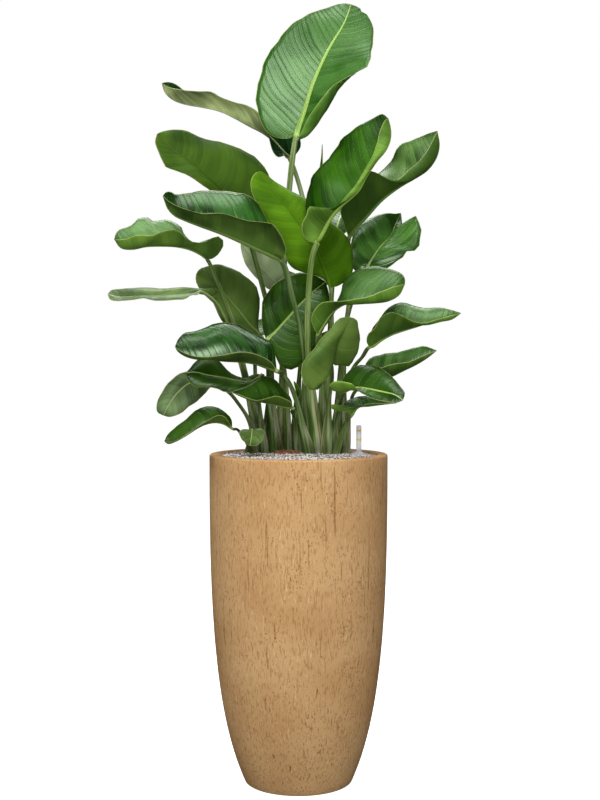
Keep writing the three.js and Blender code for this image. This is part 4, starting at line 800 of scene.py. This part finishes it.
leaf(
    "leaf_front_dark", tone="dark", slot="leaf_dark", sheath=[11.5, 8, 90], neck_radius=4.5, root=[-2, 34],
    stalk=[[-7, 17, 872], [-15, 2, 899], [-13, -78, 913]],
    rib=[[-34, -90, 917], [-62, -103, 924], [-90, -115, 930], [-113, -125, 935], [-134, -133, 943],
         [-157, -140, 954]],
    face=[[0, -0.25, 1]], bulge=[-3, 6],
    margins=[
        [[-18, -96, 929], [-34, -109, 939], [-52, -121, 945], [-71, -131, 941], [-96, -138, 935],
         [-117, -142, 940], [-136, -142, 948]],
        [[-18, -68, 937], [-37, -60, 958], [-54, -59, 980], [-70, -67, 990], [-89, -81, 986],
         [-109, -100, 971], [-130, -120, 962]],
    ],
)
leaf(
    "leaf_left_pale", tone="grey", slot="leaf_pale", sheath=[13.5, 8, 110], neck_radius=4.5, root=[-106, 60],
    stalk=[[-113, 45, 857], [-125, 35, 886], [-147, 28, 920], [-171, 22, 949], [-228, 12, 983]],
    rib=[[-252, 10, 976], [-273, 6, 966], [-292, 0, 949], [-309, -8, 926], [-327, -15, 893]],
    face=[[-0.4, -0.7, 0.5]], bulge=[4, 4],
    margins=[
        [[-210, 5, 971], [-217, -3, 957], [-229, -8, 945], [-239, -12, 933], [-262, -17, 917],
         [-286, -20, 898], [-310, -22, 890]],
        [[-240, 20, 999], [-264, 18, 1000], [-288, 14, 994], [-312, 8, 974], [-332, 2, 945], [-343, -6, 921],
         [-341, -12, 901]],
    ],
)
leaf(
    "leaf_left_drooping", tone="dark", sheath=[9.5, 7, 40], neck_radius=4, root=[-112, 36],
    stalk=[[-124, 20, 822], [-146, -5, 857], [-158, -60, 864]],
    rib=[[-177, -64, 876], [-198, -69, 880], [-222, -73, 875], [-245, -76, 863], [-269, -79, 847],
         [-292, -81, 834], [-309, -82, 829], [-318, -82, 836]],
    face=[[0.1, -0.5, 0.85]], bulge=[-2, 5],
    margins=[
        [[-165, -75, 881], [-174, -86, 894], [-190, -93, 898], [-208, -98, 889], [-232, -100, 874],
         [-255, -99, 858], [-284, -96, 841], [-303, -92, 834]],
        [[-160, -50, 884], [-171, -43, 898], [-191, -39, 912], [-217, -39, 915], [-243, -41, 908],
         [-271, -48, 886], [-297, -57, 863], [-313, -68, 847]],
    ],
)
leaf(
    "leaf_left_hanging", tone="soft", sheath=[5.5, 5, 30], neck_radius=3, root=[-128, 62],
    stalk=[[-118, 35, 840], [-110, -70, 861]], rib=[[-111, -95, 846], [-114, -105, 826]],
    face=[[0, -0.6, 0.8]], bulge=[3, 3],
    margins=[
        [[-94, -78, 866], [-81, -95, 858], [-85, -105, 840], [-99, -108, 827]],
        [[-129, -78, 863], [-139, -95, 856], [-132, -105, 840]],
    ],
)
leaf(
    "spear", tone="bright", slot="leaf_bright", sheath=[8, 8, 240], neck_radius=4, keel=2, root=[33, 112],
    stalk=[[41, 95, 1175], [50, 75, 1400]], rib=[[54, 68, 1450], [57, 62, 1510], [58, 60, 1556]],
    face=[[0, -1, 0], [0, -1, 0], [0, -1, 0]], half=[12, 12], lift=[58, 58], curl=[50, 50], lobe=[0, 0],
)
leaf(
    "leaf_back_pale", tone="chalky", slot="leaf_pale", sheath=[15.5, 9, 200], neck_radius=4.5,
    root=[-44, 72], stalk=[[-36, 78, 1002], [-26, 80, 1126], [-46, 72, 1204]],
    rib=[[-70, 72, 1234], [-100, 77, 1264], [-120, 82, 1286], [-143, 92, 1314]],
    face=[[0.4, 0.8, 0.4], [0.4, 0.8, 0.4], [0.4, 0.8, 0.4]], half=[48, 45], lift=[5, 15],
)
leaf(
    "leaf_rolled", tone="bright", sheath=[6, 6, 100], neck_radius=3.5, keel=2, root=[-4, 66],
    stalk=[[-3, 50, 883], [0, 20, 930]], rib=[[1, 5, 948], [-4, -4, 962], [-11, -10, 976]],
    face=[[-0.3, -0.9, 0.3], [-0.3, -0.9, 0.3], [-0.3, -0.9, 0.3]], half=[12, 12], lift=[50, 50],
    curl=[30, 30], lobe=[0, 0],
)
leaf(
    "leaf_rear_middle", tone="dark", sheath=[15.5, 9, 200], keel=4, root=[-8, 142],
    stalk=[[0, 160, 960], [15, 200, 1120], [20, 235, 1195]],
    rib=[[23, 290, 1235], [27, 370, 1240], [30, 440, 1210], [32, 480, 1180]],
    face=[[0, 0.2, 1], [0, 0.2, 1], [0, 0.5, 1]], half=[80, 80], lift=[20, 20],
)
REAR = dict(tone="dark", keel=4, face=[[0, 0.3, 1], [0, 0.3, 1], [0, 0.5, 1]])
leaf(
    "leaf_rear_right", **REAR, root=[62, 122], stalk=[[70, 130, 960], [85, 160, 1200], [95, 200, 1340]],
    rib=[[108, 260, 1395], [130, 340, 1420], [150, 430, 1400]], half=[72, 72], lift=[25, 25],
)
leaf(
    "leaf_rear_left", **REAR, sheath=[21.5, 8, 160], neck_radius=5, root=[-105, 118],
    stalk=[[-108, 135, 920], [-112, 170, 1040], [-116, 200, 1085]],
    rib=[[-120, 250, 1110], [-126, 320, 1125], [-130, 400, 1115]], half=[60, 60], lift=[20, 20],
)
leaf(
    "leaf_rear_low", **REAR, sheath=[21.5, 8, 160], neck_radius=5, root=[28, 140],
    stalk=[[35, 155, 930], [48, 185, 1030], [55, 210, 1080]],
    rib=[[60, 260, 1095], [68, 330, 1085], [75, 400, 1050]], half=[52, 52], lift=[20, 20],
)
leaf(
    "leaf_rear_high", **REAR, root=[-72, 128], stalk=[[-68, 140, 1000], [-62, 160, 1200], [-62, 185, 1320]],
    rib=[[-75, 240, 1370], [-98, 320, 1405], [-120, 400, 1400]], half=[72, 72], lift=[25, 25],
)


def smooth_path(points):
    """A centripetal curve through the points, as close points and their distance along it."""
    points = np.array(points, float)
    ends = [2 * points[0] - points[1], *points, 2 * points[-1] - points[-2]]
    w = np.linspace(0, 1, PATH_PARTS, endpoint=False)[:, None]
    curve = []
    for p0, p1, p2, p3 in zip(ends, ends[1:], ends[2:], ends[3:]):
        spans = ((p0, p1), (p1, p2), (p2, p3))
        d0, d1, d2 = [max(float(np.linalg.norm(b - a)), 1e-4) ** 0.5 for a, b in spans]
        t1 = ((p1 - p0) / d0 - (p2 - p0) / (d0 + d1) + (p2 - p1) / d1) * d1
        t2 = ((p2 - p1) / d1 - (p3 - p1) / (d1 + d2) + (p3 - p2) / d2) * d1
        square, cube = -3 * p1 + 3 * p2 - 2 * t1 - t2, 2 * p1 - 2 * p2 + t1 + t2
        curve.append(p1 + t1 * w + square * w**2 + cube * w**3)
    curve = np.vstack([*curve, points[-1:]])
    distance = np.concatenate([[0], np.cumsum(np.linalg.norm(np.diff(curve, axis=0), axis=1))])
    return curve, distance


def point_at(path, d):
    curve, distance = path
    return np.array([np.interp(d, distance, curve[:, axis]) for axis in range(3)])


def along(value, t):
    """A value that changes along the blade: one number, or several at equal steps to the tip."""
    values = np.atleast_1d(np.array(value, float))
    if len(values) == 1:
        return float(values[0])
    return float(np.interp(t, np.linspace(0, 1, len(values)), values))


def vector_along(vectors, t):
    return np.array([along([vector[axis] for vector in vectors], t) for axis in range(3)])


def unit(vector):
    return vector / np.linalg.norm(vector)


def smooth(value, low, high):
    share = min(max((value - low) / (high - low), 0), 1)
    return share * share * (3 - 2 * share)


HALF_COLUMNS = 15
SPREAD = np.sin(np.arange(-HALF_COLUMNS, HALF_COLUMNS + 1) / HALF_COLUMNS * math.pi / 2)
RIB_SPOTS = np.array([0, 0.3, 0.6, 0.85, 1, 1.2])  # points over the midrib, as shares of its half width
AIM = 0.6  # mm either way over which directions are taken
CURL_PARTS = 48
JAGS = ((0.012, 31, 0), (0.008, 67, 2))  # depth, turns and first phase of a margin's unevenness
WAVES = ((1, 19, 4, 1), (0.7, 11, 5, 2))  # height, mm in a radian, phase and its shift from half to half
UP = np.array([0.0, 0.0, 1.0])
LEFT, RIGHT = 0, 1
SIGN = (-1, 1)


class Leaf:
    """Rows of points run round the leaf from its foot to its tip, upper side first. Each point has marks
    for the material: distances across, along and from the margin, then side, width of the rib and t,
    which is 0 at the neck and 1 at the tip."""

    def __init__(self, name, entry):
        self.name, self.entry = name, entry
        stalk, rib, face = entry["stalk"], entry["rib"], entry["face"]
        foot = [*entry["root"], FILL_TOP * 1000 + ROOT_STRAIGHT]
        self.path = smooth_path([foot, *stalk, *rib])
        self.neck, self.total = self.path[1][PATH_PARTS * len(stalk)], self.path[1][-1]
        self.length = self.total - self.neck
        self.margins = [smooth_path([stalk[-1], *edge, rib[-1]]) for edge in entry.get("margins", ())]
        self.neck_width, self.neck_depth = entry["neck_radius"], 0.9 * entry["neck_radius"]
        self.neck_face = vector_along(face, 0)
        self.base_face = np.array([0.0, math.copysign(1, face[0][1]) if face[0][1] else -1.0, 0.0])
        self.powers = [math.log(0.5) / math.log(widest) for widest in entry["widest"]]
        chance = random.Random(name)
        self.phases = [chance.uniform(0, math.tau) for _ in range(6)]
        self.rows, self.marks = [], []

    def ahead(self, d):
        return unit(point_at(self.path, min(d + AIM, self.total)) - point_at(self.path, max(d - AIM, 0)))

    def directions(self, d, face):
        """Ahead along the leaf, out of its upper side, and to its right."""
        ahead = self.ahead(d)
        normal = unit(face - ahead * float(face @ ahead))
        return ahead, normal, np.cross(ahead, normal)

    def margin_at(self, side, t):
        path = self.margins[side]
        return point_at(path, t * path[1][-1])

    def blade_face(self, t):
        if not self.margins:
            return vector_along(self.entry["face"], t)
        settled = min(max(t, 0.12), 0.9)
        between = self.margin_at(RIGHT, settled) - self.margin_at(LEFT, settled)
        level = unit(np.cross(between, self.ahead(self.neck + self.length * t)))
        return self.neck_face + (level - self.neck_face) * smooth(t, 0, 0.07)

    def add_row(self, upper, lower, across, along_mm, edge, rib, t):
        self.rows.append(np.vstack([upper, lower[::-1]]))
        place = np.stack([across, np.full_like(across, along_mm), edge], axis=1) / 1000
        sides = [[1, rib / 1000, t]] * len(across) + [[-1, rib / 1000, t]] * len(across)
        self.marks.append([np.vstack([place, place[::-1]]), np.array(sides)])

    def stalk_row(self, centre, directions, width, depth, opened, along_mm):
        """A ring round the stalk, which is hollowed above as it opens from the sheath to the neck."""
        _, normal, right = directions
        x = SPREAD * width
        arch = np.sqrt(np.maximum(1 - SPREAD**2, 0))
        top = depth * (arch - 0.3 * opened * np.exp(-((SPREAD / 0.45) ** 2)))
        upper = centre + np.outer(x, right) + np.outer(top, normal)
        lower = centre + np.outer(x, right) - np.outer(depth * arch, normal)
        for end in (0, -1):
            lower[end] -= normal * 0.05
            upper[end] += normal * 0.05
        self.add_row(upper, lower, x, along_mm, np.full_like(x, width) - np.abs(x), width, opened - 1)

    def grow_stalk(self):
        width, depth, length = self.entry["sheath"]
        upright = UP, self.base_face, np.cross(UP, self.base_face)
        below = np.array([*self.entry["root"], FILL_TOP * 1000 - ROOT_DEPTH])
        self.stalk_row(below, upright, width, depth, 0, -self.neck - ROOT_DEPTH - ROOT_STRAIGHT)
        steps = max(int(self.neck / STALK_PITCH), 6)
        for step in range(steps):
            d = self.neck * step / steps
            face = self.base_face + (self.neck_face - self.base_face) * (d / self.neck)
            opened = smooth(d, 0, length)
            self.stalk_row(point_at(self.path, d), self.directions(d, face) if step else upright,
                           width + (self.neck_width - width) * opened,
                           depth + (self.neck_depth - depth) * opened, opened, d - self.neck)

    def curled_half(self, t, side, centre, directions, width, spots, share):
        """Points across a half that is drawn by its width, and the way they face."""
        ahead, normal, right = directions
        lift, curl = along(self.entry["lift"][side], t), along(self.entry["curl"][side], t)
        fine = np.linspace(0, 1, CURL_PARTS + 1)
        angle = np.radians(lift + curl * ((fine[1:] + fine[:-1]) / 2) ** 2)
        out, rise = [np.interp(spots, fine, np.concatenate([[0], np.cumsum(part) / CURL_PARTS])) * width
                     for part in (np.cos(angle), np.sin(angle))]
        slope = np.radians(lift + curl * spots**2)
        back = self.entry["lobe"][side] * self.length * spots**2 * share * (1 - t) ** 2
        facing = np.outer(np.cos(slope), normal) - np.outer(SIGN[side] * np.sin(slope), right)
        middle = centre + np.outer(SIGN[side] * out, right) + np.outer(rise, normal)
        return middle - np.outer(back, ahead), facing

    def drawn_half(self, t, side, centre, ahead, reach, spots):
        """Points across a half that reaches to its margin, and the way they face."""
        bulge = along(self.entry["bulge"][side], t) * math.sin(math.pi * t)
        outward = np.cross(SIGN[side] * reach, ahead)
        outward = outward / max(float(np.linalg.norm(outward)), 1e-6)
        middle = centre + np.outer(spots, reach) + np.outer(bulge * 4 * spots * (1 - spots), outward)
        edge_step = self.margin_at(side, min(t + 0.004, 1)) - self.margin_at(side, max(t - 0.004, 0))
        along_edge = edge_step / max(float(np.linalg.norm(edge_step)), 1e-6)
        slant = SIGN[side] * (reach + np.outer(bulge * 4 * (1 - 2 * spots), outward))
        facing = np.cross(slant, np.outer(1.3 - spots, ahead) + np.outer(spots, along_edge))
        return middle, facing / np.maximum(np.linalg.norm(facing, axis=1, keepdims=True), 1e-6)

    def half_surface(self, t, side, centre, directions, rib, grown):
        """The middle of one half's thickness, the way it faces, the spots from midrib to margin where
        its points stand, and its width."""
        entry, (ahead, normal, right) = self.entry, directions
        jag = 1 + sum(depth * math.sin(turns * t + self.phases[first + side]) for depth, turns, first in JAGS)
        stub = self.neck_width * (1 - smooth(t, 0, 0.02))
        if self.margins:
            edge = self.margin_at(side, min(t, BLUNT_TIP))
            reach = (edge - centre) * jag + SIGN[side] * right * max(stub, NARROWEST)
            width = float(np.linalg.norm(reach))
            share = min(width / 60, 1)
        else:
            share = max(math.sin(math.pi * t ** self.powers[side]), 0) ** entry["fullness"][side]
            for notch_side, notch_t, depth, spread in entry["notches"]:
                if notch_side == side:
                    share *= 1 - depth * max(1 - abs(t - notch_t) / spread, 0)
            width = max(entry["half"][side] * share * jag, stub, NARROWEST)
        inner = min(rib / width, 0.45)
        outer = inner * 1.2 + (1 - inner * 1.2) * np.linspace(0, 1, HALF_COLUMNS - 4)[1:]
        spots = np.concatenate([RIB_SPOTS * inner, outer])
        spots = SPREAD[HALF_COLUMNS:] * (1 - grown) + spots * grown
        if self.margins:
            middle, facing = self.drawn_half(t, side, centre, ahead, reach, spots)
        else:
            middle, facing = self.curled_half(t, side, centre, directions, width, spots, share)
        flat = (1 - np.exp(-((spots * width / max(rib, 1)) ** 2)))[:, None] * grown
        facing = normal * (1 - flat) + facing * flat
        facing = facing / np.linalg.norm(facing, axis=1, keepdims=True)
        wave = sum(rise * math.sin(self.length * t / span + self.phases[phase] + shift * side)
                   for rise, span, phase, shift in WAVES)
        swell = entry["ripple"] * spots**2 * share * wave
        return middle + facing * (swell * grown)[:, None], facing, spots, width

    def blade_row(self, t):
        d = self.neck + self.length * t
        centre, directions = point_at(self.path, d), self.directions(d, self.blade_face(t))
        grown = smooth(t, 0, 0.03)
        slim = 1 - (1 - self.entry["rib_share"]) * smooth(t, 0, 0.12)
        rib = self.neck_depth * slim * (1 - t) ** 0.8 + 0.8
        tip_keel = self.entry["keel"] * (1 - t) + 0.5 * BLADE_THICKNESS
        keel = self.neck_depth + (tip_keel - self.neck_depth) * grown
        crest = self.neck_depth + (0.5 * BLADE_THICKNESS - self.neck_depth) * smooth(t, 0, 0.05)
        halves = []
        for side, order in ((LEFT, slice(None, 0, -1)), (RIGHT, slice(None))):
            middle, facing, spots, width = self.half_surface(t, side, centre, directions, rib, grown)
            thick = (BLADE_THICKNESS + (MARGIN_THICKNESS - BLADE_THICKNESS) * spots) / 2
            x = spots * width
            hump = np.sqrt(np.maximum(1 - (x / rib) ** 2, 0)) * (x < rib)
            groove = 0.35 * rib * np.exp(-((x / (0.5 * rib)) ** 2)) * (1 - t) * smooth(1 - t, 0, 0.3)
            top = thick + np.maximum(crest - thick, 0) * hump - groove * (0.3 + 0.7 * grown)
            bottom = np.maximum(thick + np.maximum(keel - thick, 0) * hump, groove * 0.7 + 0.3)
            over, under = middle + facing * top[:, None], middle - facing * bottom[:, None]
            halves.append([part[order] for part in (over, under, SIGN[side] * x, width - x)])
        upper, lower, across, edge = [np.concatenate(pair) for pair in zip(*halves)]
        self.add_row(upper, lower, across, self.length * t, edge, rib, t)

    def grow_blade(self):
        count = max(int(self.length / BLADE_PITCH), 26)
        spaced = (1 - np.cos(np.linspace(0, math.pi, count))) / 2
        for t in sorted({*NECK_ROWS, *spaced[1:].tolist()}):
            self.blade_row(t)

    def piece(self):
        """The leaf as an object: its rows joined, and its two ends closed."""
        self.grow_stalk()
        self.grow_blade()
        columns = len(self.rows[0])
        last = (len(self.rows) - 1) * columns
        faces = []
        for start in range(0, last, columns):
            for k in range(columns):
                a, b = start + k, start + (k + 1) % columns
                faces.append((a, b, b + columns, a + columns))
        for k in range(columns // 2 - 1):
            faces.append((k, columns - 1 - k, columns - 2 - k, k + 1))
            faces.append((last + k, last + k + 1, last + columns - 2 - k, last + columns - 1 - k))
        mesh = bpy.data.meshes.new(self.name)
        mesh.from_pydata((np.vstack(self.rows) / 1000).tolist(), [], faces)
        for title, part in (("leaf_place", 0), ("leaf_side", 1)):
            values = mesh.attributes.new(title, "FLOAT_VECTOR", "POINT")
            values.data.foreach_set("vector", np.vstack([mark[part] for mark in self.marks]).ravel())
        mesh.polygons.foreach_set("use_smooth", [True] * len(faces))
        mesh.update()
        piece = bpy.data.objects.new(self.name + "_grown", mesh)
        scene.collection.objects.link(piece)
        return piece


LEAF_SHEEN = (0.74, 1.0, 0.66, 1.0)  # tint of a leaf's reflections
RIM_YELLOW, DRY_BROWN = (176, 186, 108), (122, 92, 48)
WAX, SEAM_RED = (184, 192, 160), (126, 58, 44)


def hide(tone):
    """The living surface of a leaf. leaf_place holds the distances from the midrib, from the neck (below
    zero in the stalk) and from the margin; leaf_side is 1 above and -1 below, then the half width of the
    midrib, then 0 at the base and 1 at the tip."""
    upper, dark_strip_and_shade, under, rib_colour, stem, stem_pale = [colour(*value) for value in tone["colours"]]
    spacing = tone.get("spacing", 0.016)

    def surface(shade):
        where = shade.node("Attribute", {"attribute_name": "leaf_place"}, out=1)
        sides = shade.node("Attribute", {"attribute_name": "leaf_side"}, out=1)
        across, y, edge = [shade.node("SeparateXYZ", {}, {"Vector": where}, out=axis) for axis in range(3)]
        side, rib, t = [shade.node("SeparateXYZ", {}, {"Vector": sides}, out=axis) for axis in range(3)]
        x = abs(across)
        space = shade.position()
        above = side.step(-0.2, 0.2)
        blade = y.step(-0.006, 0.008)
        climb = y - tone.get("slant", 0.47) * x - 2.9 * x * x + shade.noise(space, 6, 1) * 0.02
        turns = climb / spacing + across.step(-0.001, 0.001, 0.37, 0)
        jitter = shade.node("TexNoise", {"noise_dimensions": "1D"}, {"W": turns * 0.8, "Detail": 1.0})
        turns = turns + jitter * 0.9
        number = turns.maths("FLOOR", turns)
        luck = shade.node("TexWhiteNoise", {"noise_dimensions": "1D"}, {"W": number})
        saw = turns.maths("FRACT", turns)
        vein = (abs(saw - 0.5) * 2).step(0.86, 1.0) * (0.35 + 0.65 * luck)
        swell = saw * (1 - saw) * 4
        fine_turns = climb / (spacing / 11)
        fine = abs(fine_turns.maths("FRACT", fine_turns) - 0.5) * 2
        strip = shade.node("CombineXYZ", {}, {0: number * 3.7, 1: x * 9, 2: side})
        patch = shade.noise(space, 8, 2)
        cloud = shade.noise(space, 60, 3)
        streak = shade.noise(strip, 1.0, 1)
        # Random patches and streaks between the darker and the upper colour are painted shade and painted
        # sheen.
        top = (patch.step(0.4, 0.58) * 0.6 + streak.step(0.35, 0.65) * 0.4).blend(dark_strip_and_shade, upper)
        top = (vein * 0.5).blend(top, dark_strip_and_shade)
        top = (fine.step(0.6, 1.0) * 0.16).blend(top, dark_strip_and_shade)
        below = (vein * 0.22 + fine.step(0.5, 1.0) * 0.12).blend(under, rib_colour)
        # Dark patches on the underside are painted shade.
        below = (streak.step(0.35, 0.65) * 0.25 + patch.step(0.4, 0.58, 0.5, 0)).blend(below, dark_strip_and_shade)
        # Darker within a few centimetres of the margin and towards the tip: painted shade where the blade
        # turns away from the light.
        ends = edge.step(0, 0.022, 0.5, 0) + t.step(0.8, 0.97, 0, 0.5)
        top = ends.blend(top, dark_strip_and_shade)
        skin = above.blend(below, top)
        inside = x / rib
        # Darker just beside the midrib: painted shade in the groove along it.
        skin = (inside.step(1.0, 1.9, 1, 0) * 0.35).blend(skin, dark_strip_and_shade)
        on_rib = inside.step(0.8, 1.1, 1, 0) * above.step(0, 1, tone.get("rib_below", 0.5), 0.92)
        skin = on_rib.blend(skin, rib_colour)
        rim = edge.step(0.0008, 0.002, 1, 0)
        skin = (rim * 0.5).blend(skin, colour(*RIM_YELLOW))
        dry = t.step(0.99, 1.0) + edge.step(0.0, 0.003, 1, 0) * patch.step(0.6, 0.68)
        skin = (dry.maths("MINIMUM", dry, 1.0) * 0.8).blend(skin, colour(*DRY_BROWN))
        sheath = (0 - t).step(0.05, 0.6)
        lengthwise = shade.node("CombineXYZ", {}, {0: across * 240, 1: y * 8, 2: side})
        streaks = shade.noise(lengthwise, 1.0, 3)
        stalk = streaks.step(0.34, 0.7).blend(stem, stem_pale)
        wax_and_shade_noise = shade.noise(shade.node("CombineXYZ", {}, {0: across * 60, 1: y * 6, 2: side * 3}), 1.0, 2)
        stalk = (wax_and_shade_noise.step(0.46, 0.68) * (0.1 + sheath * 0.7)).blend(stalk, colour(*WAX))
        # Dark patches on the sheathing foot are painted shade among the crowded stalks.
        stalk = (sheath * wax_and_shade_noise.step(0.3, 0.52, 0.8, 0)).blend(stalk, dark_strip_and_shade)
        seam = abs(inside + side * 0.1 - 0.62).step(0.03, 0.09, 1, 0) * across.step(-0.001, 0.001) * sheath
        stalk = (seam * 0.75).blend(stalk, colour(*SEAM_RED))
        height = (swell * 0.3 - vein * 0.4 + fine * 0.01) * blade * (1 - on_rib)
        height = height + (1 - blade) * streaks * 0.3 + (shade.noise(space, 13, 0) - 0.5) * 2 * blade
        normal = shade.node("Bump", {}, {"Height": height, "Strength": 0.55, "Distance": 0.0012})
        rough = above.step(0, 1, 0.46, tone["gloss"]) + (cloud - 0.5) * 0.08 + (luck - 0.5) * 0.06
        return {"Base Color": blade.blend(stalk, skin), "Roughness": rough, "Normal": normal,
                "Specular IOR Level": tone.get("shine", 0.25), "Specular Tint": LEAF_SHEEN}

    return surface


# Colours of each tone: upper side, its darker strips (also used as painted shade), underside, midrib, stalk
# and the stalk's streaks.
TONES = {
    "crown": dict(colours=[(66, 108, 44), (24, 70, 0), (112, 158, 64), (146, 176, 84), (84, 108, 46),
                           (152, 168, 118)], gloss=0.28, shine=0.38),
    "dark": dict(colours=[(52, 88, 19), (21, 46, 3), (84, 120, 34), (150, 178, 90), (48, 72, 24),
                          (98, 118, 66)], gloss=0.29, shine=0.4),
    "dark_bright": dict(colours=[(48, 84, 19), (18, 42, 3), (112, 158, 50), (160, 188, 94), (54, 78, 28),
                                 (108, 128, 72)], gloss=0.29, shine=0.4),
    "glossy": dict(colours=[(46, 94, 30), (10, 38, 2), (84, 116, 44), (150, 178, 92), (60, 88, 36),
                            (120, 142, 88)], gloss=0.24, shine=0.52, rib_below=0.3),
    "glossy_mid": dict(colours=[(78, 126, 48), (27, 59, 11), (96, 130, 60), (160, 186, 110), (54, 80, 30),
                                (110, 132, 76)], gloss=0.26, shine=0.5),
    "vivid": dict(colours=[(46, 90, 6), (14, 44, 1), (98, 136, 48), (152, 186, 84), (88, 120, 44),
                           (150, 168, 106)], gloss=0.30, shine=0.15),
    "mid": dict(colours=[(90, 130, 64), (40, 72, 20), (108, 146, 54), (158, 184, 104), (68, 94, 36),
                         (124, 142, 86)], gloss=0.29, shine=0.35),
    "olive": dict(colours=[(57, 94, 23), (21, 45, 3), (58, 87, 16), (100, 132, 50), (60, 84, 30),
                           (112, 130, 76)], gloss=0.36, rib_below=0.3, shine=0.15),
    "olive_light": dict(colours=[(97, 132, 67), (42, 70, 22), (62, 92, 26), (120, 152, 72), (80, 104, 44),
                                 (136, 152, 98)], gloss=0.32, rib_below=0.4, shine=0.35),
    "bright": dict(colours=[(97, 149, 27), (42, 78, 3), (90, 136, 18), (104, 144, 44), (96, 124, 58),
                            (144, 164, 106)], gloss=0.39, rib_below=0.35, shine=0.15),
    # The striped tone's underside is painted light: far paler than a leaf's underside, so that the shaded
    # underside looks lit.
    "striped": dict(colours=[(38, 82, 42), (14, 42, 16), (208, 226, 152), (180, 192, 136), (100, 122, 66),
                             (148, 164, 116)], gloss=0.29, rib_below=0.2, shine=0.4, spacing=0.012,
                    slant=1.7),
    "pale": dict(colours=[(101, 134, 59), (53, 78, 26), (90, 116, 48), (142, 166, 94), (72, 96, 38),
                          (128, 146, 90)], gloss=0.40, rib_below=0.4, shine=0.25),
    "soft": dict(colours=[(100, 124, 62), (50, 74, 24), (108, 142, 58), (164, 184, 116), (82, 106, 46),
                          (134, 152, 98)], gloss=0.39, shine=0.25),
    "chalky": dict(colours=[(192, 212, 160), (120, 140, 96), (196, 212, 164), (176, 190, 146), (96, 116, 62),
                            (146, 160, 112)], gloss=0.43, shine=0.25),
    "mid_deep": dict(colours=[(71, 109, 46), (30, 59, 14), (88, 128, 40), (158, 184, 104), (82, 106, 46),
                              (134, 152, 98)], gloss=0.29, shine=0.35),
    "grey": dict(colours=[(111, 134, 86), (59, 78, 42), (106, 128, 78), (150, 166, 114), (62, 82, 38),
                          (118, 134, 84)], gloss=0.43, shine=0.25),
}
skins = {name: finish("leaf_" + name, hide(tone)) for name, tone in TONES.items()}

for name, entry in LEAVES.items():
    grown_leaf = Leaf(name, entry).piece()
    grown_leaf.data.materials.append(skins[entry["tone"]])
    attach(grown_leaf, "root")
    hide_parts(name)
